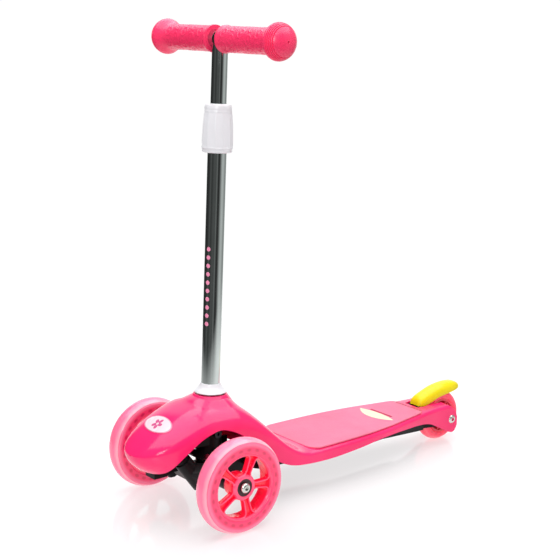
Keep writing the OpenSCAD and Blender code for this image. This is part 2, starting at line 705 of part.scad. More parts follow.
// Core round Z: rim, holed flange, ribbed spokes and hub
module core(rim_r, ring_r, spoke_w, spokes, hub_r, holes, w) {
  half = w / 2 - 0.6;
  well_r = rim_r - 3;
  window_out = well_r - 0.5;
  window_in = hub_r + 2;
  difference() {
    union() {
      difference() {
        cylinder(h = 2 * half, r = rim_r, center = true, $fn = 96);
        cylinder(h = 60, r = well_r, center = true, $fn = 96);
      }
      cylinder(h = flange_t, r = ring_r, center = true, $fn = 96);
      cylinder(h = w - 0.4, r = hub_r, center = true);
      // Walls round every window stand up from the spoke web
      for (i = [0 : spokes - 1]) rotate(spoke_angle + 360 / spokes * i)
        translate([0, 0, -8]) linear_extrude(16)
          window_outline(-2.2, spoke_w, window_out, window_in, spokes);
    }
    for (i = [0 : spokes - 1]) rotate(spoke_angle + 360 / spokes * i)
      translate([0, 0, -30]) linear_extrude(60) window_outline(0, spoke_w, window_out, window_in, spokes);
    for (i = [0 : holes - 1]) rotate(360 / holes * (i + 0.5))
      translate([(rim_r + ring_r) / 2, 0, -20]) cylinder(h = 40, r = 2, $fn = 24);
    for (s = [-1, 1]) translate([0, 0, s > 0 ? w / 2 - bearing_set - bearing_w : -w / 2 - 5])
      cylinder(h = bearing_w + 5 + bearing_set, r = bearing_r);
    cylinder(h = 60, r = 7.5, center = true);
  }
}

// Two sealed bearings in the hub
module bearings(w) {
  for (s = [-1, 1]) mirror([0, 0, s < 0 ? 1 : 0]) translate([0, 0, w / 2 - bearing_set - bearing_w])
    difference() {
      cylinder(h = bearing_w, r = bearing_r);
      translate([0, 0, -1]) cylinder(h = bearing_w + 2, r = axle_r + fit_gap);
      translate([0, 0, bearing_w - 0.5]) difference() {
        cylinder(h = 2, r = 9.3);
        cylinder(h = 2, r = 6);
      }
    }
}

// Button head with a hexagon socket, facing +Z from z = 0
module button_head(r) {
  difference() {
    rotate_extrude()
      polygon([[0, 0], [r, 0], [r, 0.8], [r * 0.93, 2.2], [r * 0.76, 3.4], [r * 0.5, 4], [0, 4]]);
    translate([0, 0, 1.6]) cylinder(h = 5, r = 2.9, $fn = 6);
  }
}

front_rim_r = 42;
front_flange_r = 51.5;
front_hub_r = 15;
front_spoke_w = 13;
module front_wheel_frame(side) {
  mirrored(side) drawing_frame() translate([track / 2, 0, front_axle_z]) rotate([0, 90, 0])
    rotate([0, 0, 90]) children();
}
module front_tyre(side) color(tyre_pink) front_wheel_frame(side)
  tyre(front_wheel_d / 2, front_rim_r, front_flange_r, front_wheel_w, front_crown_r);
module front_core(side) color(deep_pink) front_wheel_frame(side)
  core(front_rim_r, front_flange_r, front_spoke_w, 5, front_hub_r, 24, front_wheel_w);
module front_bearings(side) color(steel) front_wheel_frame(side) bearings(front_wheel_w);
module front_spacer(side) color(steel) front_wheel_frame(side) difference() {
  cylinder(h = front_wheel_w - 2 * bearing_w - 3, r = 6.5, center = true);
  cylinder(h = 40, r = axle_r, center = true);
}
module front_axle_bolt(side) color(steel) mirrored(side) drawing_frame() {
  head_x = track / 2 + front_wheel_w / 2 - 0.7;
  x_rod(nut_x + 2, head_x, axle_r, 0, front_axle_z);
  translate([head_x, 0, front_axle_z]) rotate([0, 90, 0]) button_head(head_r);
}
module left_front_tyre() front_tyre(1);
module right_front_tyre() front_tyre(-1);
module left_front_core() front_core(1);
module right_front_core() front_core(-1);
module left_front_bearings() front_bearings(1);
module right_front_bearings() front_bearings(-1);
module left_front_spacer() front_spacer(1);
module right_front_spacer() front_spacer(-1);
module left_axle_bolt() front_axle_bolt(1);
module right_axle_bolt() front_axle_bolt(-1);

rear_rim_r = 25;
rear_flange_r = 31;
rear_hub_r = 14;
rear_spoke_w = 10;
module rear_wheel_frame() {
  drawing_frame() translate([0, wheelbase, rear_axle_z]) rotate([0, 90, 0]) children();
}
module rear_tyre() color(tyre_pink) rear_wheel_frame()
  tyre(rear_wheel_d / 2, rear_rim_r, rear_flange_r, rear_wheel_w, rear_crown_r);
module rear_core() color(deep_pink) rear_wheel_frame()
  core(rear_rim_r, rear_flange_r, rear_spoke_w, 5, rear_hub_r, 18, rear_wheel_w);
module rear_bearings() color(steel) rear_wheel_frame() bearings(rear_wheel_w);
// One sleeve between the bearings and one short sleeve on each side of the wheel
module rear_spacers() color(steel) rear_wheel_frame() difference() {
  union() {
    cylinder(h = rear_wheel_w - 2 * bearing_w - 3, r = 6.5, center = true);
    for (s = [-1, 1]) translate([0, 0, s > 0 ? rear_wheel_w / 2 - 0.9 : -fork_in_x])
      cylinder(h = fork_in_x - rear_wheel_w / 2 + 0.9, r = 5.6);
  }
  cylinder(h = 60, r = axle_r, center = true);
}
module rear_axle_bolt() color(steel) rear_wheel_frame() {
  seat = cheek_out_x - 2.2;
  translate([0, 0, -seat]) cylinder(h = 2 * seat, r = axle_r);
  translate([0, 0, seat]) button_head(head_r);
}
module rear_axle_nut() color(steel) rear_wheel_frame() mirror([0, 0, 1]) difference() {
  translate([0, 0, cheek_out_x - 2.2]) cylinder(h = 3.4, r = 7.4, $fn = 6);
  translate([0, 0, 10]) cylinder(h = 40, r = axle_r + 0.02);
}

// ---------- brake ----------

brake_pin_y = 391;
brake_pin_z = 54.5;
brake_pin_r = 2.5;
brake_slot_x = 13.9;
brake_slot_y = 383.5;
brake_wall = 2.4;
brake_y0 = 389.2;
brake_y1 = 474;
brake_top = [[brake_y0, 62.6], [394, 65.5], [400, 69], [406, 73], [417, 78.4], [428, 82],
  [443, 84.2], [455, 84], [465, 81.8], [471, 78.6], [brake_y1, 76]];
brake_low = [[brake_y0, 60.9], [400, 61.3], [413, 63.5], [424, 66.8], [436, 69], [447, 70.3],
  [456, 71.6], [462, 73], [brake_y1, 74.6]];
brake_half = [[brake_y0, 7], [394, 10.6], [404, 12.8], [418, 13.8], [440, 14],
  [456, 13.3], [465, 11], [471, 7.5], [brake_y1, 3]];
brake_stations = concat([for (i = [0 : 5]) brake_y0 + 8 * (1 - cos(15 * i))],
  [for (y = [400 : 5 : 457]) y], [for (i = [0 : 6]) brake_y1 - 14 * (1 - sin(15 * i))]);
arch_steps = 14;
function brake_ring(y, g) = let (
    w = max(0.3, curve(y, brake_half) + g),
    low = curve(y, brake_low) + (g < 0 ? -8 : 0),
    top = max(low + 0.3, curve(y, brake_top) + g)
  )
  [for (i = [0 : arch_steps]) let (a = 180 * i / arch_steps)
    [w * spow(cos(a), 0.82), y, low + (top - low) * spow(sin(a), 0.82)]];
module brake_pedal() color(yellow) drawing_frame() difference() {
  union() {
    difference() {
      skin([for (y = brake_stations) brake_ring(y, 0)]);
      skin([for (y = [402 : 5 : 467]) brake_ring(y, -brake_wall)]);
    }
    // Lug that drops through the slot to the pin
    x_rod(-6, 6, 5.4, brake_pin_y, brake_pin_z);
    translate([-6, brake_pin_y - 1.5, brake_pin_z]) cube([12, 6.5, 7.5]);
  }
  x_rod(-20, 20, brake_pin_r + fit_gap, brake_pin_y, brake_pin_z);
  pad_shape();
}

pad_lift = 3.6;
friction_t = 3.6;
// Steel friction pad under the pedal, curved to the tyre
module brake_pad() color(steel) drawing_frame() pad_shape();
module pad_shape() {
  r = rear_wheel_d / 2 + pad_lift;
  intersection() {
    difference() {
      x_rod(-5.5, 5.5, r + friction_t, wheelbase, rear_axle_z);
      x_rod(-20, 20, r, wheelbase, rear_axle_z);
    }
    translate([-10, 424, 60]) cube([20, 20, 40]);
  }
}

module brake_pin() color(steel) drawing_frame()
  x_rod(-20.5, 20.5, brake_pin_r, brake_pin_y, brake_pin_z);

module brake_spring() color(steel) drawing_frame() for (s = [-1, 1]) mirrored(s)
  translate([6.8, brake_pin_y, brake_pin_z]) rotate([0, 90, 0]) coil(3.9, 0.7, 1.7, coil_turns, 0.9);

// ---------- assembly ----------

body_shell();
chassis();
deck_pad();
deck_stripe();
nose_badge();
shell_screws();
column_collar();
lower_stem_tube();
stem_cross_bolt();
stem_cross_nut();
clamp_collet();
clamp_nut();
upper_stem_tube();
stem_glide_bush();
handlebar_crossbar();
left_grip();
right_grip();
left_kingpin();
right_kingpin();
centering_springs();
left_knuckle();
right_knuckle();
tie_rod();
left_tie_pin();
right_tie_pin();
left_front_tyre();
right_front_tyre();
left_front_core();
right_front_core();
left_front_bearings();
right_front_bearings();
left_front_spacer();
right_front_spacer();
left_axle_bolt();
right_axle_bolt();
rear_tyre();
rear_core();
rear_bearings();
rear_spacers();
rear_axle_bolt();
rear_axle_nut();
brake_pedal();
brake_pad();
brake_pin();
brake_spring();
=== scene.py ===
"""Looks of the three-wheeled kick scooter, on the frame packed from part.scad."""
import math

import bmesh
import bpy
import numpy as np
from mathutils import Matrix, Vector
from mathutils.geometry import delaunay_2d_cdt


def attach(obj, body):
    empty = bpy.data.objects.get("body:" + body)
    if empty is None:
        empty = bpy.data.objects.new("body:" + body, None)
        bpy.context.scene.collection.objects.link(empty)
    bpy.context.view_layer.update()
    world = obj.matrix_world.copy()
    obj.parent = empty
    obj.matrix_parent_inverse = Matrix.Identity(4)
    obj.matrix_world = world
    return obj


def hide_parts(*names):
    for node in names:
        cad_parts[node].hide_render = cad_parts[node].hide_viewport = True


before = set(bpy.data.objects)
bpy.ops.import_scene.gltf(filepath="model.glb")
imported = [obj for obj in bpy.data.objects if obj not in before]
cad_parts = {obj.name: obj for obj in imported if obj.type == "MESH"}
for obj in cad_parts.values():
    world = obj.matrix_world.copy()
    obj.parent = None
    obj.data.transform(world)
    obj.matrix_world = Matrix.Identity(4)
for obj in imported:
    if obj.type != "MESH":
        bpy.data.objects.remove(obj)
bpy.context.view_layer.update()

MM = 0.001

# Frames, in millimetres, as in part.scad: DRAW has its origin on the floor under the front axle,
# COLUMN has it at the foot of the column and Z up the tube
AXLE_Y = -191.0
COLUMN_Y, COLUMN_Z, COLUMN_LEAN = 28.6, 159.3, 2.5
DRAW = Matrix.Translation((0, AXLE_Y, 0))
COLUMN = (DRAW @ Matrix.Translation((0, COLUMN_Y, COLUMN_Z))
          @ Matrix.Rotation(-math.radians(COLUMN_LEAN), 4, "X"))
ALONG_X = Matrix.Rotation(math.radians(90), 4, "Y")

# Wheels
WHEEL_X, FRONT_R, REAR_R, REAR_Y = 99.5, 60.0, 37.0, 435.0
RIM_R, REAR_RIM_R = 42.0, 25.0
SIDES = (("left", 1), ("right", -1))


# ---------- materials ----------

def connect(tree, socket, value):
    """Links value to socket, or sets it there when it isn't a socket."""
    if isinstance(value, bpy.types.NodeSocket):
        tree.links.new(value, socket)
    else:
        socket.default_value = value


def add_node(tree, kind, values=(), **props):
    """New shader node with its first inputs linked or set to values."""
    node = tree.nodes.new("ShaderNode" + kind)
    for key, value in props.items():
        setattr(node, key, value)
    for socket, value in zip(node.inputs, values):
        connect(tree, socket, value)
    return node


def fill_ramp(node, stops):
    """Sets the colour ramp of node to (place, colour) stops."""
    ramp = node.color_ramp
    while len(ramp.elements) < len(stops):
        ramp.elements.new(0.5)
    for element, (place, colour) in zip(ramp.elements, stops):
        element.position = place
        element.color = (*colour, 1)


class Nodes:
    """A Principled material and short calls that add nodes to it."""

    def __init__(self, name, **sockets):
        self.mat = bpy.data.materials.new(name)
        self.mat.use_nodes = True
        self.tree = self.mat.node_tree
        self.shader = self.tree.nodes["Principled BSDF"]
        self.coord = self.tree.nodes.new("ShaderNodeTexCoord").outputs["Object"]
        self.set(**sockets)

    def add(self, kind, values=(), **props):
        return add_node(self.tree, kind, values, **props)

    def axes(self, coord=None):
        """The x, y and z of coord, which is the object's own unless given."""
        return self.add("SeparateXYZ", [coord or self.coord]).outputs

    def in_frame(self, place):
        """The object's coordinates seen from the frame place, which is in millimetres."""
        inv = place.inverted()
        move = tuple(v * MM for v in inv.to_translation())
        return self.add("Mapping", [self.coord, move, tuple(inv.to_euler()), (1, 1, 1)]).outputs[0]

    def math(self, op, *values):
        return self.add("Math", values, operation=op).outputs[0]

    def length(self, x, y):
        return self.math("SQRT", self.math("ADD", self.math("MULTIPLY", x, x), self.math("MULTIPLY", y, y)))

    def noise(self, scale, detail=3.0, rough=0.55, coord=None):
        node = self.add("TexNoise")
        node.inputs["Scale"].default_value = scale
        node.inputs["Detail"].default_value = detail
        node.inputs["Roughness"].default_value = rough
        self.tree.links.new(coord or self.coord, node.inputs["Vector"])
        return node.outputs["Fac"]

    def ramp(self, value, *stops):
        node = self.add("ValToRGB", [value])
        fill_ramp(node, stops)
        return node.outputs["Color"]

    def grey(self, value, low, high, a=0.0, b=1.0):
        """value between a and b, mapped to low..high."""
        return self.add("MapRange", [value, a, b, low, high]).outputs[0]

    def mix(self, factor, a, b):
        """Mix of two colours, each a socket or a plain (r, g, b)."""
        node = self.add("Mix", data_type="RGBA")
        for name, value in (("Factor", factor), ("A", a), ("B", b)):
            socket = next(i for i in node.inputs if i.name == name and i.enabled)
            connect(self.tree, socket, (*value, 1) if isinstance(value, tuple) else value)
        return next(o for o in node.outputs if o.enabled)

    def set(self, **sockets):
        """Plain values of the shader's sockets."""
        for key, value in sockets.items():
            self.shader.inputs[key.replace("_", " ")].default_value = value

    def to(self, socket, value):
        self.tree.links.new(value, self.shader.inputs[socket])

    def paint(self, factor, colour):
        """Lays colour over the base colour."""
        base = self.shader.inputs["Base Color"].links[0].from_socket
        self.to("Base Color", self.mix(factor, base, colour))

    def bump(self, height, distance):
        """Adds relief to what is there already; distance is in metres."""
        node = self.add("Bump")
        node.inputs["Distance"].default_value = distance
        node.inputs["Strength"].default_value = 1.0
        self.tree.links.new(height, node.inputs["Height"])
        if self.shader.inputs["Normal"].is_linked:
            self.tree.links.new(self.shader.inputs["Normal"].links[0].from_socket, node.inputs["Normal"])
        self.to("Normal", node.outputs["Normal"])


def plastic(name, colour, rough=0.3, coat=0.0, grain=0.00004, speckle=0.05, scale=900, dust=0.06,
            specular=0.5):
    """Moulded plastic: fine grain, slow colour drift, uneven polish."""
    n = Nodes(name, Base_Color=(*colour, 1), Roughness=rough, Coat_Weight=coat, Coat_Roughness=0.08,
              Specular_IOR_Level=specular)
    drift = n.noise(14, 2)
    deep = tuple(c * (1 - 2.4 * speckle) for c in colour)
    pale = tuple(min(1, c * (1 + speckle) + 0.01) for c in colour)
    n.to("Base Color", n.mix(n.grey(drift, 0, 1, 0.35, 0.65), deep, pale))
    smudge = n.noise(38, 4, 0.6)
    n.to("Roughness", n.grey(smudge, max(0.02, rough - dust), rough + dust, 0.3, 0.7))
    n.bump(n.noise(scale, 2), grain)
    return n


def metal(name, colour, rough, brush=0.0):
    """Worn metal, brushed across Z where brush, the depth of the scratches, is given."""
    n = Nodes(name, Base_Color=(*colour, 1), Metallic=1.0, Roughness=rough)
    worn = n.noise(30, 5, 0.65)
    n.to("Roughness", n.grey(worn, max(0.01, rough * 0.7), rough * 1.5 + 0.01, 0.3, 0.7))
    n.to("Base Color", n.mix(n.grey(worn, 0, 1, 0.3, 0.7), tuple(c * 0.93 for c in colour), colour))
    if brush:
        stretch = n.add("Mapping", [n.coord, (0, 0, 0), (0, 0, 0), (1, 1, 40)]).outputs[0]
        n.bump(n.noise(160, 3, 0.6, stretch), brush)
    return n


CHROME = (0.60, 0.66, 0.64)
mats = {
    "shell": plastic("shell_gloss_pink", (1.0, 0.016, 0.155), 0.17, 0.25, 0.000004, 0.03, 700, 0.03, 0.28),
    "black": plastic("frame_black_nylon", (0.004, 0.004, 0.005), 0.34, 0, 0.00005, 0.1, 1400, specular=0.1),
    "white": plastic("white_plastic", (0.80, 0.80, 0.83), 0.3, 0.1, 0.00001, 0.002, dust=0.02),
    "cream": plastic("cream_inlay", (0.80, 0.74, 0.50), 0.45, 0, 0.00003, 0.02, 1600),
    "grip": plastic("grip_soft_pink", (1.0, 0.030, 0.13), 0.30, 0, 0.000006, 0.04, dust=0.05),
    "rear_core": plastic("core_red_pink", (0.95, 0.01, 0.06), 0.25, 0.3, 0.00001, 0.04),
    "yellow": plastic("brake_yellow", (0.80, 0.66, 0.0), 0.26, 0, 0.00001, 0.03, 800, specular=0.3),
    # Bearings: a dark seal, darkened further with painted shade for the shadowed bore of the hub
    "bearing": plastic("bearing_seal_and_painted_bore_shade", (0.045, 0.006, 0.010), 0.35, 0, 0.00001, 0.1),
    "chrome": metal("chrome_tube", CHROME, 0.06),
    "steel": metal("zinc_steel", (0.66, 0.68, 0.64), 0.22, 0.000015),
    "dark_steel": metal("black_oxide_steel", (0.035, 0.035, 0.04), 0.32)}

# Foot pad: groove behind the crescent and rear end, in the drawing frame
GROOVE_Y, PAD_END = 323.9, 377.0


def pad_material():
    """Soft foot pad with a moulded pattern of small raised lozenges, and painted shade in its groove and at
    its rear end.
    """
    n = plastic("pad_soft_pink", (0.88, 0.15, 0.27), 0.50, 0, 0.00003, 0.03, 1800)
    x, y, _ = n.axes()
    wave = 2 * math.pi / 0.0056
    a = n.math("SINE", n.math("MULTIPLY", n.math("ADD", x, y), wave))
    b = n.math("SINE", n.math("MULTIPLY", n.math("SUBTRACT", x, y), wave))
    n.bump(n.grey(n.math("MULTIPLY", a, b), 0, 1, 0.1, 0.5), 0.00018)
    # Painted shade in the groove behind the crescent and in the gap at the rear end
    off = n.math("ABSOLUTE", n.math("SUBTRACT", y, (GROOVE_Y + AXLE_Y) * MM))
    groove = n.math("MULTIPLY", n.math("LESS_THAN", off, 0.0022),
                    n.math("LESS_THAN", n.math("ABSOLUTE", x), 0.0222))
    gap = n.math("GREATER_THAN", y, (PAD_END + AXLE_Y - 3.0) * MM)
    n.paint(n.math("MULTIPLY", n.math("MAXIMUM", groove, gap), 0.9), (0.28, 0.008, 0.04))
    return n


mats["pad"] = pad_material()


def core_material():
    """Translucent red-pink plastic with a faint painted red glow; a painted highlight makes the tops of the
    ribs, the hub and the rim paler.
    """
    n = plastic("core_translucent_painted_glow", (1.0, 0.003, 0.05), 0.25, 0.3, 0.00001, 0.03)
    out = n.math("ABSOLUTE", n.math("SUBTRACT", n.math("ABSOLUTE", n.axes()[0]), WHEEL_X * MM))
    # Painted highlight: the outermost faces (rib tops, hub and rim) are paler
    n.paint(n.grey(out, 0, 1, 0.0080, 0.0094), (1.0, 0.085, 0.21))
    # Painted glow: the core gives off a little red light of its own
    n.set(Emission_Color=(1.0, 0.0, 0.02, 1), Emission_Strength=0.16)
    return n


mats["core"] = core_material()


DOT_ANGLE, DOT_PITCH, DOT_R, DOT_FIRST, DOT_LAST = -72.0, 0.0105, 0.00275, 7, 17
TUBE_R = 0.012


def dotted_tube():
    """Chrome with a line of plain pink dots down one side, where the real tube has its print."""
    n = metal("chrome_tube_dotted", CHROME, 0.06)
    x, y, z = n.axes(n.in_frame(COLUMN))
    angle = n.math("ARCTAN2", y, x)
    side = n.math("MULTIPLY", n.math("SUBTRACT", angle, math.radians(DOT_ANGLE)), TUBE_R)
    step = n.math("SUBTRACT", n.math("MODULO", z, DOT_PITCH), DOT_PITCH / 2)
    dot = n.grey(n.length(side, step), 1, 0, DOT_R - 0.00015, DOT_R + 0.00015)
    low = n.math("GREATER_THAN", z, DOT_FIRST * DOT_PITCH)
    high = n.math("LESS_THAN", z, DOT_LAST * DOT_PITCH)
    mask = n.math("MULTIPLY", dot, n.math("MULTIPLY", low, high))
    n.paint(mask, (0.90, 0.30, 0.48))
    n.to("Metallic", n.math("SUBTRACT", 1.0, mask))
    return n


mats["dotted"] = dotted_tube()

BADGE_Y, BADGE_Z, BADGE_TILT, BADGE_A, BADGE_B, PETAL_R = -51, 121, 31.0, 0.026, 0.013, 0.0088


def badge_material():
    """Pale oval badge with a plain five-petal flower and a thin rim."""
    n = plastic("badge_pale", (0.86, 0.66, 0.72), 0.25, 0.4, 0.00001, 0.02)
    tilt = Matrix.Rotation(math.radians(BADGE_TILT), 4, "X")
    x, y, _ = n.axes(n.in_frame(DRAW @ Matrix.Translation((0, BADGE_Y, BADGE_Z)) @ tilt))
    r = n.length(x, y)
    petal = n.math("ABSOLUTE", n.math("COSINE", n.math("MULTIPLY", n.math("ARCTAN2", y, x), 2.5)))
    edge = n.math("MULTIPLY", n.math("ADD", n.math("MULTIPLY", petal, 0.6), 0.4), PETAL_R)
    flower = n.math("MULTIPLY", n.grey(n.math("SUBTRACT", r, edge), 1, 0, -0.0003, 0.0003),
                    n.grey(r, 0, 1, 0.0016, 0.0022))
    oval = n.length(n.math("DIVIDE", x, BADGE_A), n.math("DIVIDE", y, BADGE_B))
    rim = n.grey(oval, 0, 1, 0.90, 0.94)
    n.paint(n.math("MAXIMUM", flower, n.math("MULTIPLY", rim, 0.7)), (0.66, 0.10, 0.27))
    n.bump(flower, 0.0002)
    return n


mats["badge"] = badge_material()


def tyre_material(name, middle, r, inner, flange, dots, dot_r, glow, tint=1.0):
    """Cast pink polyurethane: the core's holed flange shows through as a deeper band, out to the
    radius flange, with a ring of darker dots at dot_r. Near the clear lip, a thin dark line of painted
    shade and a pale ring of painted highlight, and all over a faint painted glow of strength glow.
    middle is the wheel's centre in metres in the shared frame, r and inner are the tyre's radii, and a
    tint under 1 deepens the pink."""
    # Painted glow: the tyre gives off a faint pink light of its own, as strong as glow
    n = Nodes(name, Roughness=0.2, Coat_Weight=0.4, Coat_Roughness=0.06, IOR=1.49, Subsurface_Weight=0.25,
              Subsurface_Radius=(1.0, 0.4, 0.5), Subsurface_Scale=0.004,
              Emission_Color=(1.0, 0.04, 0.12, 1), Emission_Strength=glow)
    _, y, z = n.axes(n.add("VectorMath", [n.coord, middle], operation="SUBTRACT").outputs[0])
    wave = n.math("MULTIPLY", n.math("SUBTRACT", n.noise(160, 3), 0.5), 0.0006)
    radius = n.math("ADD", n.length(y, z), wave)
    inside, deep, pale = (1.0, 0.10, 0.24), (1.0, 0.042, 0.16), (1.0, 0.19, 0.34)
    # line and clear are painted light at the clear lip: a dark line of painted edge shade and a pale ring of
    # painted highlight
    dark, line, clear = (0.62, 0.012, 0.07), (0.92, 0.09, 0.20), (1.0, 0.40, 0.50)
    inside, deep, pale, clear = ((c[0], c[1] * tint, c[2] * tint) for c in (inside, deep, pale, clear))

    def at_r(mm):
        return (mm - inner) / (r - inner)

    # Bands out from the inner radius: deep where the flange shows through, then pale, then the painted shade
    # line and painted highlight ring at the lip
    band = n.ramp(n.grey(radius, 0, 1, inner * MM, r * MM),
                  (0.0, inside), (at_r(inner + 1.0), deep),
                  (at_r(flange - 2.0), deep), (at_r(flange + 1.6), pale),
                  (at_r(r - 4.9), pale), (at_r(r - 4.4), line),
                  (at_r(r - 3.6), clear), (at_r(r - 2.6), clear), (at_r(r - 0.8), pale), (1.0, pale))
    # Distance from the middle of the nearest dot, which is longer round the wheel than across
    turn = 2 * math.pi / dots
    angle = n.math("ARCTAN2", z, y)
    step = n.math("SUBTRACT", n.math("MODULO", n.math("ADD", angle, 20 * math.pi), turn), turn / 2)
    along = n.math("MULTIPLY", step, dot_r * MM * 0.6)
    away = n.math("SUBTRACT", radius, dot_r * MM)
    dot = n.grey(n.length(along, away), 1, 0, 0.0010, 0.0029)
    n.to("Base Color", n.mix(n.math("MULTIPLY", dot, 0.85), band, dark))
    n.bump(n.noise(1200, 2), 0.00002)
    n.to("Roughness", n.grey(n.noise(45, 5, 0.7), 0.12, 0.24, 0.3, 0.7))
    return n


mats["front_tyre"] = {
    side: tyre_material(f"tyre_pink_{side}", (sx * WHEEL_X * MM, AXLE_Y * MM, FRONT_R * MM),
                        FRONT_R, RIM_R, 51.5, 24, 47.2, 0.10)
    for side, sx in SIDES}
mats["rear_tyre"] = tyre_material("tyre_pink_rear", (0, (AXLE_Y + REAR_Y) * MM, REAR_R * MM),
                                  REAR_R, REAR_RIM_R, 30.0, 18, 28.0, 0.3, 0.4)


# ---------- mesh helpers ----------

def new_object(name, verts, faces, mat, place):
    """Object with a mesh of millimetre points in the frame place."""
    mesh = bpy.data.meshes.new(name)
    flat = np.c_[np.asarray(verts, float), np.ones(len(verts))] @ np.array(place).T
    mesh.from_pydata((flat[:, :3] * MM).tolist(), [], [list(map(int, f)) for f in faces])
    mesh.materials.append(mat.mat)
    obj = bpy.data.objects.new(name, mesh)
    bpy.context.scene.collection.objects.link(obj)
    return obj


def make(name, verts, faces, body, mat, nodes=(), sharp=35, place=DRAW, mods=()):
    """Piece of millimetre points in the frame place, riding on body, standing for nodes."""
    obj = new_object(name, verts, faces, mat, place)
    obj.data.validate()
    apply_mods(obj, mods)
    finish(obj.data, sharp)
    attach(obj, body)
    if nodes:
        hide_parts(*nodes)


def wall(thickness, side, rounding):
    """Modifiers that thicken a sheet, in millimetres, to one side and round its edges."""
    return [("SOLIDIFY", {"thickness": thickness * MM, "offset": side, "use_even_offset": False}),
            ("BEVEL", {"width": rounding * MM, "segments": 3, "limit_method": "ANGLE",
                       "angle_limit": math.radians(50)})]


def apply_mods(obj, mods):
    """Adds modifiers to obj and turns their result, if there are any, into its mesh."""
    if not mods:
        return
    for kind, props in mods:
        mod = obj.modifiers.new(kind.lower(), kind)
        for key, value in props.items():
            setattr(mod, key, value)
    bpy.context.view_layer.update()
    graph = bpy.context.evaluated_depsgraph_get()
    mesh = bpy.data.meshes.new_from_object(obj.evaluated_get(graph))
    obj.modifiers.clear()
    obj.data = mesh


def weld(mesh, near, thin, face_up=False):
    """Joins points closer than near metres, drops slivers and turns the faces outward. face_up, for
    an open sheet, means that the highest face looks up."""
    bm = bmesh.new()
    bm.from_mesh(mesh)
    bmesh.ops.remove_doubles(bm, verts=bm.verts, dist=near)
    bmesh.ops.dissolve_degenerate(bm, edges=bm.edges, dist=thin)
    bmesh.ops.recalc_face_normals(bm, faces=bm.faces)
    if face_up and max(bm.faces, key=lambda f: f.calc_center_median().z).normal.z < 0:
        bmesh.ops.reverse_faces(bm, faces=bm.faces)
    bm.to_mesh(mesh)
    bm.free()


def finish(mesh, sharp):
    """Cleans the mesh and marks the edges sharper than sharp degrees."""
    weld(mesh, 1e-6, 1e-7)
    mesh.shade_smooth()
    mesh.set_sharp_from_angle(angle=math.radians(sharp))


def grid(rows, cols, close_rows=False, close_cols=False):
    """Quads over a rows x cols array of points."""
    faces = []
    for i in range(rows if close_rows else rows - 1):
        for j in range(cols if close_cols else cols - 1):
            a, b = i * cols + j, i * cols + (j + 1) % cols
            c, d = ((i + 1) % rows) * cols + (j + 1) % cols, ((i + 1) % rows) * cols + j
            faces.append((a, b, c, d))
    return faces


def turned(profile, count):
    """Revolves a closed list of (r, z) round Z."""
    pts = [(r * math.cos(2 * math.pi * k / count), r * math.sin(2 * math.pi * k / count), z)
           for r, z in profile for k in range(count)]
    return pts, grid(len(profile), count, close_rows=True, close_cols=True)


def fillet(points, radius, steps=5):
    """Rounds the corners of a closed list of (r, z) points."""
    out, n = [], len(points)
    for i, p in enumerate(points):
        a, b, c = Vector(points[i - 1]), Vector(p), Vector(points[(i + 1) % n])
        u, v = a - b, c - b
        reach = min(radius, u.length * 0.45, v.length * 0.45)
        if reach < 1e-4 or u.angle(v, 0) > math.radians(176):
            out.append(tuple(b))
            continue
        p0, p1 = b + u.normalized() * reach, b + v.normalized() * reach
        for k in range(steps + 1):
            t = k / steps
            out.append(tuple((1 - t) ** 2 * p0 + 2 * t * (1 - t) * b + t * t * p1))
    return out


def densify(points, step):
    """Points along the open line through points, at most about step apart, without the last one."""
    out = []
    for (x0, y0), (x1, y1) in zip(points, points[1:]):
        parts = max(1, round(math.hypot(x1 - x0, y1 - y0) / step))
        out += [(x0 + (x1 - x0) * k / parts, y0 + (y1 - y0) * k / parts) for k in range(parts)]
    return out


def smooth(s):
    """0 to 1, eased at both ends, for s from 0 to 1."""
    s = np.clip(s, 0, 1)
    return s * s * (3 - 2 * s)


# ---------- shell: the outer surface of part.scad's cover and deck ----------
# Lengths are in the drawing frame, y backwards from the front axle. A table holds [y, value] rows.

NOSE, COVER_W, COVER_Z, NOSE_Z, DECK_Z = 92.0, 54.0, 141.0, 90.0, 60.0
CHIN_Y, CHIN_Z = -50, 60
SLOPE_START, SLOPE_LENGTH = 30, 118
COVER_SHOULDER, DECK_SHOULDER = 36, 9
WIDTH = [[0, 54], [60, 58], [130, 60.5], [196, 60.5], [250, 58.5], [300, 52.5], [345, 43.5], [380, 36.5],
         [405, 33], [428, 32], [446, 32]]
EDGE = [[-120, 65.5], [-73, 65.5], [-58, 78.5], [-43, 92], [-22, 107], [0, 114.7], [14, 114.2],
        [35, 104.5], [60, 86], [89, 60], [108, 49.5], [130, 44.5], [180, 42.3], [231, 45], [270, 48],
        [306, 48.3], [330, 47], [357, 45.2], [375, 42.8], [388, 39.5], [400, 34], [416, 25.6], [428, 19],
        [436, 16.6], [446, 16.6]]


def curve(y, table):
    """Smooth curve through the rows of table, level at both ends."""
    i = 0
    while i < len(table) - 2 and y >= table[i + 1][0]:
        i += 1

    def slope(k):
        if k in (0, len(table) - 1):
            return 0.0
        return (table[k + 1][1] - table[k - 1][1]) / (table[k + 1][0] - table[k - 1][0])

    (ya, a), (yb, b) = table[i], table[i + 1]
    h = yb - ya
    s = min(1.0, max(0.0, (y - ya) / h))
    return ((2 * s ** 3 - 3 * s * s + 1) * a + (s ** 3 - 2 * s * s + s) * h * slope(i)
            + (3 * s * s - 2 * s ** 3) * b + (s ** 3 - s * s) * h * slope(i + 1))


def slope_mix(a, b, y):
    """From a on the cover to b on the deck, down the slope between them."""
    return a + (b - a) * float(smooth((y - SLOPE_START) / SLOPE_LENGTH))


def half_w(y):
    """Half the width: a superellipse round the nose, then the table."""
    return COVER_W * (1 - min(1, -y / NOSE) ** 2.3) ** (1 / 2.3) if y < 0 else curve(y, WIDTH)


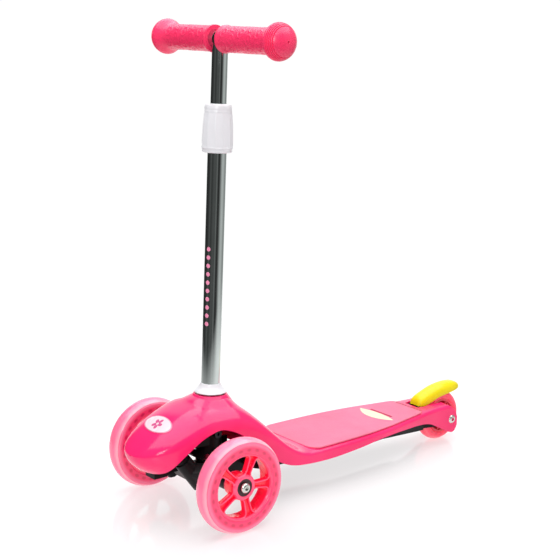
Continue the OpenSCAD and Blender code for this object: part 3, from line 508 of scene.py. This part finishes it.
def top_z(y):
    """Height of the top along the middle."""
    if y < 0:
        return NOSE_Z + (COVER_Z - NOSE_Z) * (1 - min(1, -y / NOSE) ** 1.5) ** 0.9
    return slope_mix(COVER_Z, DECK_Z, y)


def low_z(y):
    """Height at which the section's sides would meet below, under the edge."""
    if y < CHIN_Y:
        share = min(1, (CHIN_Y - y) / (NOSE + CHIN_Y))
        return NOSE_Z - (NOSE_Z - CHIN_Z) * math.sqrt(max(0, 1 - share ** 2))
    return max(10.0, CHIN_Z - (y - CHIN_Y))


def shoulder(y):
    """Drop from the top to the widest level."""
    if y < 0:
        return min(COVER_SHOULDER, (top_z(y) - NOSE_Z) * 0.8 + 0.2)
    return slope_mix(COVER_SHOULDER, DECK_SHOULDER, y)


def half_ring(y):
    """One side of the cross-section at y, from the top middle down, as dense (x, z) points."""
    w, middle = max(0.3, half_w(y)), top_z(y) - shoulder(y)
    top, low = max(middle + 0.15, top_z(y)), min(middle - 0.15, low_z(y))
    p, q = 2 / slope_mix(2.5, 4, y), 2 / (2.2 + 6.8 * float(smooth((y + 75) / 45)))
    a = np.radians(np.linspace(90, 0, 500))
    b = np.radians(np.linspace(0, 90, 500))[1:]
    x = np.r_[w * np.cos(a) ** p, w * np.clip(np.cos(b), 0, 1) ** q]
    z = np.r_[middle + (top - middle) * np.sin(a) ** p, middle - (middle - low) * np.sin(b) ** q]
    x[0] = x[-1] = 0.0
    return x, z


def arc_lengths(x, z):
    return np.r_[0, np.cumsum(np.hypot(np.diff(x), np.diff(z)))]


def resample(x, z, count, start, stop):
    """count points along (x, z) between two arc lengths."""
    s = arc_lengths(x, z)
    at = np.linspace(start, stop, count)
    return np.interp(at, s, x), np.interp(at, s, z)


def length_at(x, z, line, limit):
    """Arc length at which line, a falling measure along (x, z), first comes down to limit."""
    s = arc_lengths(x, z)
    hit = np.nonzero(line <= limit)[0]
    if not len(hit):
        return s[-1]
    k = hit[0]
    if k == 0:
        return 0.0
    share = (line[k - 1] - limit) / max(1e-9, line[k - 1] - line[k])
    return s[k - 1] + share * (s[k] - s[k - 1])


# Brake slot from SLOT_Y, open fork from DECK_END, cheeks beside the wheel up to CHEEK_END
SLOT_Y, DECK_END, CHEEK_END = 383.5, 428.0, 445.5
SLOT_HALF, FORK_HALF = 13.9, 27.5
CHEEK_TOP = [[428, 60], [433, 56.5], [439, 51], [443.5, 45], [445.5, 39]]
CHEEK_LOW = [[428, 19], [436, 16.6], [440, 17.6], [443, 21], [445.5, 27]]


def zone_x(y):
    """Distances from the middle line at which the shell's two inner zones end."""
    shrink = half_w(y) / COVER_W if y < 0 else 1.0
    slot = SLOT_HALF + 1.6 * float(smooth((y - 388) / 5))
    return slot * shrink, FORK_HALF * shrink


# Counts of steps across the slot, from there to the fork, and down the side
ZONES = (8, 8, 56)


def shell_rows(ys):
    """For each y, one side of the shell from the top middle to its lower edge, with the same counts
    of points up to the two inner zones' ends and the edge."""
    rows = []
    for y in ys:
        x, z = half_ring(y)
        xa, xb = zone_x(y)
        la, lb = length_at(x, z, -x, -xa), length_at(x, z, -x, -xb)
        edge = curve(y, EDGE)
        if y > DECK_END:
            edge = np.interp(y, *zip(*CHEEK_LOW))
            lb = max(lb, length_at(x, z, z, np.interp(y, *zip(*CHEEK_TOP))))
        lc = length_at(x, z, z, edge)
        if y <= -50 and lc < lb:
            lc = lb + 1
        row = []
        for k, (a, b) in enumerate(((0, la), (la, lb), (lb, lc))):
            px, pz = resample(x, z, ZONES[k] + 1, a, max(b, a + 1e-4))
            row += list(zip(px, pz))[min(k, 1):]
        rows.append(row)
    return rows


def shell_grid():
    """Points and faces of the shell's outer surface, with the slot and the fork left open."""
    # Stations, closer together at the nose, the jump of the edge and the cheeks
    ys = sorted(set(np.round(np.r_[
        -NOSE + 0.02 + 60 * (1 - np.cos(np.linspace(0, math.pi / 2, 44))),
        np.arange(-76, -70, 0.75), np.arange(-34, 180, 2.5), np.arange(180, SLOT_Y - 1, 4),
        SLOT_Y, np.arange(385, 428, 2.5), DECK_END, np.linspace(430, CHEEK_END, 9)], 3)))
    verts, index, faces = [], {}, []
    for i, (y, row) in enumerate(zip(ys, shell_rows(ys))):
        for side in (1, -1):
            for j, (x, z) in enumerate(row):
                index[i, side, j] = len(verts)
                verts.append((side * x, y, z))
    slot, fork, edge = np.cumsum(ZONES)
    for i, y in enumerate(ys[:-1]):
        for side in (1, -1):
            for j in range(edge):
                if (j < slot and y >= SLOT_Y) or (j < fork and y >= DECK_END):
                    continue
                quad = [index[i + a, side, j + b] for a, b in ((0, 0), (1, 0), (1, 1), (0, 1))]
                faces.append(quad if side > 0 else quad[::-1])
    return verts, faces


def compact(verts, faces):
    """The same faces on the points that they use."""
    used = sorted({v for f in faces for v in f})
    new = {v: k for k, v in enumerate(used)}
    return [verts[v] for v in used], [[new[v] for v in f] for f in faces]


SWELL, SWELL_R, SWELL_W, COVER_LOW = 5.5, 39, 21, 100


def body_shell():
    """Cover, deck and fork cheeks in one moulding, with its top swollen up into the neck."""
    verts, faces = compact(*shell_grid())
    axis = (DRAW.inverted() @ COLUMN).inverted()
    for k, (x, y, z) in enumerate(verts):
        at = axis @ Vector((x, y, z))
        swell = SWELL * float(smooth((SWELL_R - math.hypot(at.x, at.y)) / SWELL_W))
        verts[k] = (x, y, z + swell * (z > COVER_LOW))
    obj = new_object("shell_moulding", verts, faces, mats["shell"], DRAW)
    weld(obj.data, 2e-5, 1e-6, face_up=True)
    apply_mods(obj, wall(2.6, -1, 0.55))
    finish(obj.data, 40)
    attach(obj, "deck")
    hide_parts("body_shell")


body_shell()

# Neck of the shell round the collar
neck = [(18.2, -12.3), (20.6, -12.3), (21.2, -12.5), (21.7, -13.0), (23.0, -14.6), (26.0, -18.5),
        (28.6, -22.0), (32.0, -26.5), (32.0, -30), (18.2, -30)]
make("shell_neck", *turned(fillet(neck, 0.9, 3), 128), "deck", mats["shell"], place=COLUMN)


# ---------- column ----------

collar = [(12.05, -10.4), (20.2, -10.4), (20.8, -9.9), (20.5, -8.9), (18.5, -7.1), (16.8, -5.5),
          (15.4, -3.9), (14.3, -2.2), (13.5, -0.6), (12.9, 1.0), (12.5, 1.4), (12.05, 1.4)]
make("collar_cone", *turned(fillet(collar, 0.5, 3), 128), "deck", mats["white"], ["column_collar"],
     place=COLUMN)

NUT_Z, NUT_FLATS, FLAT_DEPTH = 292.3, 12, 0.75


def clamp_nut():
    """Hand nut: turned body with twelve soft flats."""
    outline = [(12.1, 0), (17.6, 0), (18.3, 0.5), (18.6, 1.3), (18.6, 3.8), (18.8, 4.4), (19.4, 5.2),
               (19.6, 6.0), (19.7, 14), (19.4, 26), (18.9, 36), (17.9, 46), (17.3, 49.8), (16.9, 51.4),
               (16.9, 52.2), (17.1, 53), (16.7, 56.5), (15.9, 58.3), (15.0, 59), (10.35, 59), (10.35, 53)]
    profile, count = densify(outline, 0.9), 240
    profile += [outline[-1], (13.4, 51), (13.4, 13), (12.1, 13)]
    half = math.pi / NUT_FLATS
    pts = []
    for r, z in profile:
        reach = float(smooth((z - 5.5) / 2.2) * smooth((50.4 - z) / 2.2)) if r > 14 else 0
        for k in range(count):
            a = 2 * math.pi * k / count
            off = (a + half) % (2 * half) - half
            flat = (r - FLAT_DEPTH) / math.cos(off)
            # Soft minimum of the round and the flat
            soft = -math.log(math.exp(-4 * (flat - r)) + 1) / 4
            pts.append(((r + reach * soft) * math.cos(a), (r + reach * soft) * math.sin(a), NUT_Z + z))
    make("clamp_hand_nut", pts, grid(len(profile), count, True, True), "clamp", mats["white"],
         ["clamp_nut"], place=COLUMN, sharp=45)


clamp_nut()


# ---------- grips ----------

BAR_Z, GRIP_START, KNOB_X, KNOB_R, KNOB_REACH = 428.6, 10.3, 113.4, 22.3, 18.6
GROOVES, GROOVE_FIRST, GROOVE_STEP = 5, 9.0, 7
RELIEF_START, RELIEF_PITCH, RELIEF_COLS, RELIEF_LIFT, RING_R = 24, 17.0, 5, 0.32, 5.8


def grip_outline():
    """Dense (radius, length) points from the flange at the middle to the vent hole in the knob."""
    outline = [(11.05, GRIP_START), (16.2, GRIP_START), (16.8, 10.6), (17.0, 11.2), (17.0, 12.8),
               (16.7, 13.8), (16.2, 15.4), (15.75, 17), (15.6, 19), (15.6, KNOB_X - 20),
               (15.7, KNOB_X - 16), (16.1, KNOB_X - 13), (17.0, KNOB_X - 10.4), (18.4, KNOB_X - 8),
               (20.0, KNOB_X - 5.6), (21.4, KNOB_X - 3.2), (22.1, KNOB_X - 1.2), (KNOB_R, KNOB_X)]
    profile = densify(outline, 0.55)
    for degrees in np.arange(0, 86.1, 0.5):
        groove = max(float(smooth(1.2 - abs(degrees - (GROOVE_FIRST + GROOVE_STEP * i)) / 1.6))
                     for i in range(GROOVES))
        f, a = 1 - 0.055 * groove, math.radians(degrees)
        profile.append((f * KNOB_R * math.cos(a), KNOB_X + f * KNOB_REACH * math.sin(a)))
    return profile + [(1.45, KNOB_X + KNOB_REACH - 0.02), (1.1, KNOB_X + KNOB_REACH - 0.3),
                      (1.1, KNOB_X + 12), (0.4, KNOB_X + 12)]


def grip_relief(r, z, a):
    """Height of the rings and dots, set in columns of six that are half a step apart."""
    col = round((z - RELIEF_START) / RELIEF_PITCH)
    if not (17 < z < KNOB_X - 16 and r > 15 and 0 <= col < RELIEF_COLS):
        return 0.0
    shift = (col % 2) * math.pi / 6
    off = (a - shift + math.pi / 6) % (math.pi / 3) - math.pi / 6
    d = math.hypot(z - RELIEF_START - col * RELIEF_PITCH, off * r)
    ring, dot = smooth(1.8 - abs(d - RING_R) / 0.75), smooth(1.6 - d / 1.6)
    return RELIEF_LIFT * float(max(ring, dot))


def grip(side, name, node):
    """Soft grip with raised rings and dots, a flared knob and five grooves."""
    profile, count, pts = grip_outline(), 168, []
    for r, z in profile:
        for k in range(count):
            a = 2 * math.pi * k / count
            grown = r + grip_relief(r, z, a)
            pts.append((grown * math.cos(a), grown * math.sin(a), z))
    place = COLUMN @ Matrix.Translation((0, 0, BAR_Z)) @ Matrix.Scale(side, 4, (1, 0, 0)) @ ALONG_X
    make(name, pts, grid(len(profile), count, False, True), "handlebar", mats["grip"], [node],
         place=place, sharp=50)


for side_name, sx in SIDES:
    grip(sx, f"grip_{side_name}", f"{side_name}_grip")


# ---------- front wheels ----------

WELL_R, HUB_R, BORE_R = 38.7, 15.0, 11.0
HUB_FOOT, RIM_FOOT = 17.2, 38.9
# A spoke is ROOT_W wide at the hub and would be TIP_W wide at TIP_R
SPOKES, SPOKE_ANGLE, ROOT_W, TIP_W, TIP_R = 5, 67.0, 8.0, 13.0, WELL_R + 10
# Distances of the faces from the middle plane of the wheel
WEB_X, RIB_X, HUB_X, RIM_X, SPOKE_BACK_X = 5.6, 9.4, 11.6, 11.2, -1.5


def window_loop():
    """Rounded outline of the window between the spoke at angle 0 and the next one."""
    step = 2 * math.pi / SPOKES
    inner, outer = HUB_R + 1.6, WELL_R
    half = (ROOT_W + (TIP_W - ROOT_W) * (outer - inner) / (TIP_R - inner)) / 2
    a_in, a_out = math.asin(ROOT_W / 2 / inner), math.asin(half / outer)
    pts = [(outer * math.cos(a), outer * math.sin(a)) for a in np.linspace(a_out, step - a_out, 40)]
    pts += [(inner * math.cos(a), inner * math.sin(a)) for a in np.linspace(step - a_in, a_in, 8)]
    loop = np.array(densify(pts + pts[:1], 0.7))
    # Rounds the corners by moving every point towards the mean of its neighbours
    for _ in range(34):
        loop = (np.roll(loop, 1, 0) + loop * 2 + np.roll(loop, -1, 0)) / 4
    return loop


def circle(r, count):
    a = np.linspace(0, 2 * math.pi, count, endpoint=False)
    return np.c_[r * np.cos(a), r * np.sin(a)]


def inside_any(points, loops):
    """Which points lie inside one of the loops."""
    found = np.zeros(len(points), bool)
    x, y = points[:, 0:1], points[:, 1:2]
    for loop in loops:
        x0, y0 = loop[:, 0], loop[:, 1]
        x1, y1 = np.roll(x0, -1), np.roll(y0, -1)
        cross = ((y0 > y) != (y1 > y)) & (x < (x1 - x0) * (y - y0) / (y1 - y0 + 1e-12) + x0)
        found |= cross.sum(1) % 2 == 1
    return found


def nearest(points, edge):
    """Distance from each point to the closest one of edge."""
    return np.array([np.hypot(edge[:, 0] - x, edge[:, 1] - y).min() for x, y in points])


def core_mesh(loops):
    """Points and triangles of a core's face, with the windows cut out."""
    size = 0.62
    gx, gy = np.meshgrid(np.arange(-43, 43, size), np.arange(-43, 43, size * 0.866))
    gx[1::2] += size / 2
    cloud = np.c_[gx.ravel(), gy.ravel()]
    far = np.hypot(cloud[:, 0], cloud[:, 1])
    cloud = cloud[(far < RIM_R - 0.4) & (far > BORE_R + 0.4)]
    near = nearest(cloud, np.concatenate(loops))
    cloud = cloud[~inside_any(cloud, loops) & (near > 0.35)]
    coords, edges = [tuple(p) for p in cloud], []
    for loop in [circle(RIM_R, 240), circle(BORE_R, 96)] + loops:
        start = len(coords)
        coords += [tuple(p) for p in loop]
        edges += [(start + k, start + (k + 1) % len(loop)) for k in range(len(loop))]
    pts, _, tris, *_ = delaunay_2d_cdt([Vector(c) for c in coords], edges, [], 0, 1e-5)
    pts = np.array([tuple(p) for p in pts])
    mid = np.array([pts[list(t)].mean(0) for t in tris])
    far = np.hypot(mid[:, 0], mid[:, 1])
    kept = (far < RIM_R) & (far > BORE_R) & ~inside_any(mid, loops)
    return pts, [t for t, keep in zip(tris, kept) if keep]


def core_face():
    """Points, triangles and heights of the front and the back face of the core."""
    base, loops = window_loop(), []
    for k in range(SPOKES):
        t = math.radians(SPOKE_ANGLE) + 2 * math.pi * k / SPOKES
        loops.append(np.c_[base[:, 0] * math.cos(t) - base[:, 1] * math.sin(t),
                           base[:, 0] * math.sin(t) + base[:, 1] * math.cos(t)])
    pts, tris = core_mesh(loops)
    r = np.hypot(pts[:, 0], pts[:, 1])
    d = nearest(pts, np.concatenate(loops))
    # Channel between the ribs, ribs along the windows, hub and rim
    rib = RIB_X - 0.6 * smooth(1 - d / 0.7)
    height = WEB_X + (rib - WEB_X) * smooth((2.4 - d) / 0.8)
    hub = HUB_X - 0.5 * smooth((r - 14.2) / 0.8) - 0.5 * smooth((BORE_R + 0.7 - r) / 0.7)
    height = np.where(r < HUB_FOOT, height + (hub - height) * smooth((16.9 - r) / 2.1), height)
    rim = RIM_X - 0.5 * smooth((r - (RIM_R - 0.6)) / 0.6) - 0.4 * smooth((39.6 - r) / 0.7)
    height = height + (rim - height) * smooth((r - RIM_FOOT) / 0.9)
    # The back of the spokes lies ahead of the middle; the rim and the hub go right through
    back = np.full(len(r), SPOKE_BACK_X)
    back = back + (hub - back) * smooth((16.4 - r) / 1.2) * (r < HUB_FOOT)
    back = back + (rim - back) * smooth((r - RIM_FOOT) / 0.9)
    return pts, tris, height, back


def wheel_core(side, name, node, body):
    """Core of one front wheel, with its ribbed face outward."""
    pts, tris, height, back = CORE
    count = len(pts)
    verts = [(x, y, h) for (x, y), h in zip(pts, height)] + [(x, y, -h) for (x, y), h in zip(pts, back)]
    faces = [tuple(t) for t in tris] + [tuple(count + v for v in t[::-1]) for t in tris]
    # Walls along the open edges
    used = dict.fromkeys((a, b) for t in tris for a, b in zip(t, t[1:] + t[:1]))
    faces += [(b, a, count + a, count + b) for a, b in used if (b, a) not in used]
    turn = Matrix(((0, 0, 1, 0), (1, 0, 0, 0), (0, 1, 0, 0), (0, 0, 0, 1)))
    place = DRAW @ Matrix.Scale(side, 4, (1, 0, 0)) @ Matrix.Translation((WHEEL_X, 0, FRONT_R)) @ turn
    make(name, verts, faces, body, mats["core"], [node], place=place, sharp=50)


CORE = core_face()
for side_name, sx in SIDES:
    wheel_core(sx, f"core_{side_name}", f"{side_name}_front_core", f"{side_name}_front_wheel")


# ---------- tyres ----------

def tyre_profile(r, inner, width, crown):
    """Closed outline (radius, side) of a tyre with a crowned tread and soft shoulders."""
    half = width / 2
    span = math.asin((half - 1.5) / crown)
    rise = crown - math.sqrt(crown ** 2 - (half - 1.5) ** 2)
    tread = [(r - crown + crown * math.cos(a), crown * math.sin(a)) for a in np.linspace(-span, span, 25)]
    low = [(inner, -half + 1.5), (inner + 0.3, -half + 0.9), (inner + 1.4, -half + 0.12),
           (inner + 2.4, -half), (r - rise - 2.6, -half), (r - rise - 1.4, -half + 0.35)]
    high = [(a, -b) for a, b in low[::-1]]
    return fillet(low + tread + high, 0.7, 3)


def tyre(name, node, body, mat, middle, shape):
    """Tyre round a shaft along X through middle; shape is r, inner, width and crown."""
    place = DRAW @ Matrix.Translation(middle) @ ALONG_X
    make(name, *turned(tyre_profile(*shape), 160), body, mat, [node], place=place, sharp=45)


for side_name, sx in SIDES:
    tyre(f"tyre_{side_name}", f"{side_name}_front_tyre", f"{side_name}_front_wheel",
         mats["front_tyre"][side_name], (sx * WHEEL_X, 0, FRONT_R), (FRONT_R, RIM_R, 24, 17))
tyre("tyre_rear", "rear_tyre", "rear_wheel", mats["rear_tyre"], (0, REAR_Y, REAR_R),
     (REAR_R, REAR_RIM_R, 21, 12.5))


# ---------- brake ----------

# Rows of [y, z] or, for half the width, [y, x]
BRAKE_START, BRAKE_TIP = 389.2, 474
BRAKE_TOP = [[BRAKE_START, 59.7], [389.8, 63.5], [391.2, 67.0], [394, 70.4], [400, 73.6], [406, 76],
             [417, 79.6], [428, 82.3], [443, 84.2], [455, 84.2], [463, 83.3], [468, 81.6], [472, 79.2],
             [BRAKE_TIP, 76.6]]
BRAKE_LOW = [[BRAKE_START, 59.0], [400, 59.6], [413, 63.1], [424, 66.8], [436, 69], [447, 70.3],
             [456, 71.6], [462, 72.6], [470, 73.8], [BRAKE_TIP, 75]]
BRAKE_HALF = [[BRAKE_START, 8], [391.5, 11], [396, 12.8], [404, 13.4], [418, 13.8], [440, 14],
              [456, 13.6], [464, 12.2], [469, 10], [472.5, 6.6], [BRAKE_TIP, 3]]
ROUNDNESS = 0.82


def brake_pedal():
    """Arched treadle: a thin sheet over half-round sections, closer together at both ends."""
    ease = np.linspace(0, math.pi / 2, 8), np.linspace(0, math.pi / 2, 18)
    ys = np.r_[BRAKE_START + 8 * (1 - np.cos(ease[0])), np.arange(399, 458, 2.4),
               BRAKE_TIP - 16 * (1 - np.sin(ease[1]))]
    count, verts = 48, []
    for y in ys:
        w, low = curve(y, BRAKE_HALF), curve(y, BRAKE_LOW)
        top = max(low + 0.6, curve(y, BRAKE_TOP))
        for k in range(count + 1):
            a = math.pi * k / count
            c, s = math.cos(a), math.sin(a)
            verts.append((w * math.copysign(abs(c) ** ROUNDNESS, c), y,
                          low + (top - low) * max(0, s) ** ROUNDNESS))
    make("brake_treadle", verts, grid(len(ys), count + 1), "brake", mats["yellow"], ["brake_pedal"],
         sharp=40, mods=wall(2.3, 1, 0.5))


brake_pedal()


# ---------- CAD nodes that keep their shape ----------

KEPT = {"black": ["chassis", "stem_glide_bush", "left_knuckle", "right_knuckle", "tie_rod"],
        "pad": ["deck_pad"], "cream": ["deck_stripe"], "white": ["clamp_collet"], "badge": ["nose_badge"],
        "dotted": ["lower_stem_tube"], "chrome": ["upper_stem_tube", "handlebar_crossbar"],
        "rear_core": ["rear_core"],
        "bearing": ["left_front_bearings", "right_front_bearings", "rear_bearings"],
        "steel": ["left_tie_pin", "right_tie_pin", "left_front_spacer", "right_front_spacer",
                  "left_axle_bolt", "right_axle_bolt", "rear_spacers", "rear_axle_bolt", "rear_axle_nut",
                  "brake_pad"],
        "dark_steel": ["shell_screws", "stem_cross_bolt", "stem_cross_nut", "left_kingpin", "right_kingpin",
                       "centering_springs", "brake_pin", "brake_spring"]}
for key, names in KEPT.items():
    for node in names:
        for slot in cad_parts[node].material_slots:
            slot.material = mats[key].mat


# ---------- floor, light, camera ----------

# The photograph's view: the camera's direction from the object, its roll, lens and place in metres
AZ, EL, ROLL = math.radians(51.78), math.radians(12.39), math.radians(0.185)
LENS, SHIFT, CAMERA_AT = 83.77, (0.00604, -0.00096), (1.2946, -1.0758, 0.6414)
FLOOR_HALF, FADE_START, FADE_END = 40000, 0.5, 1.1


def floor():
    """White glossy table top that fades out into the backdrop."""
    n = Nodes("floor_gloss_white", Base_Color=(0.78, 0.7722, 0.78, 1), IOR=2.0)
    n.to("Roughness", n.grey(n.noise(3, 3), 0.07, 0.12, 0.3, 0.7))
    # A lit table keeps the shadows pale
    lit = n.add("Emission", [(1.0, 0.975, 0.98, 1), 1.22]).outputs[0]
    table = n.add("MixShader", [0.48, n.shader.outputs[0], lit]).outputs[0]
    clear = n.add("BsdfTransparent", [(1, 1, 1, 1)]).outputs[0]
    x, y, _ = n.axes()
    fade = n.grey(n.length(x, y), 0, 1, FADE_START, FADE_END)
    blend = n.add("MixShader", [fade, table, clear]).outputs[0]
    n.tree.links.new(blend, n.tree.nodes["Material Output"].inputs["Surface"])
    corners = [(x * FLOOR_HALF, y * FLOOR_HALF, 0) for x, y in ((-1, -1), (1, -1), (1, 1), (-1, 1))]
    new_object("studio_floor", corners, [(0, 1, 2, 3)], n, Matrix())


floor()


def area_light(name, place, target, size, power):
    data = bpy.data.lights.new(name, "AREA")
    data.shape = "RECTANGLE"
    data.size, data.size_y = size
    data.energy = power
    obj = bpy.data.objects.new(name, data)
    bpy.context.scene.collection.objects.link(obj)
    obj.location = place
    obj.rotation_euler = (Vector(target) - Vector(place)).to_track_quat("-Z", "Y").to_euler()


area_light("overhead_box", (0.0, 0.1, 1.6), (0, 0.1, 0.1), (2.4, 2.4), 44)
area_light("key_box", (1.5, -1.9, 1.2), (0, 0, 0.15), (0.7, 1.0), 17)


# Brightness of the reflected backdrop against the angle round from the camera, in degrees
CARDS = [(-180, 1.15), (-152, 1.15), (-146, 0.04), (-110, 0.03), (-85, 0.05), (-66, 0.11), (-48, 0.05),
         (-22, 0.10), (0, 0.09), (11, 0.20), (22, 0.05), (36, 0.03), (50, 0.16), (64, 0.52), (81, 0.66),
         (97, 0.56), (119, 0.34), (146, 0.4), (152, 1.15), (180, 1.15)]


def studio():
    """Backdrop: white to the camera, a soft grey for diffuse light, and dark and bright cards stood
    round the table in reflections."""
    world = bpy.data.worlds.new("studio")
    bpy.context.scene.world = world
    world.use_nodes = True
    world.node_tree.nodes.clear()

    def new(kind, *values, **props):
        return add_node(world.node_tree, kind, values, **props)

    def math_(op, *values):
        return new("Math", *values, operation=op).outputs[0]

    x, y, _ = new("SeparateXYZ", new("TexCoord").outputs["Generated"]).outputs
    c, s = math.sin(AZ), -math.cos(AZ)
    ahead = math_("ADD", math_("MULTIPLY", x, c), math_("MULTIPLY", y, s))
    aside = math_("ADD", math_("MULTIPLY", x, -s), math_("MULTIPLY", y, c))
    turn = math_("ARCTAN2", aside, ahead)
    ramp = new("ValToRGB", new("MapRange", turn, -math.pi, math.pi, 0.0, 1.0).outputs[0])
    fill_ramp(ramp, [((degrees + 180) / 360, (value,) * 3) for degrees, value in CARDS])
    path = new("LightPath").outputs
    soft = new("Background", (1, 0.98, 0.99, 1), 0.42).outputs[0]
    cards = new("Background", ramp.outputs["Color"], 1.0).outputs[0]
    white = new("Background", (1, 1, 1, 1), 1.02).outputs[0]
    seen = new("MixShader", path["Is Glossy Ray"], soft, cards).outputs[0]
    new("OutputWorld", new("MixShader", path["Is Camera Ray"], seen, white).outputs[0])


studio()


def photo_camera():
    """Camera at the photograph's view."""
    look = Vector((math.sin(AZ) * math.cos(EL), -math.cos(AZ) * math.cos(EL), math.sin(EL)))
    right = Vector((math.cos(AZ), math.sin(AZ), 0))
    up = look.cross(right)
    axes = (right * math.cos(ROLL) + up * math.sin(ROLL), up * math.cos(ROLL) - right * math.sin(ROLL), look)
    data = bpy.data.cameras.new("camera")
    data.sensor_width, data.lens = 36, LENS
    data.shift_x, data.shift_y = SHIFT
    data.clip_start, data.clip_end = 0.05, 100
    camera = bpy.data.objects.new("camera", data)
    bpy.context.scene.collection.objects.link(camera)
    camera.matrix_world = Matrix.Translation(CAMERA_AT) @ Matrix(axes).transposed().to_4x4()
    return camera


bpy.context.scene.camera = photo_camera()
bpy.context.scene.view_settings.view_transform = "Standard"
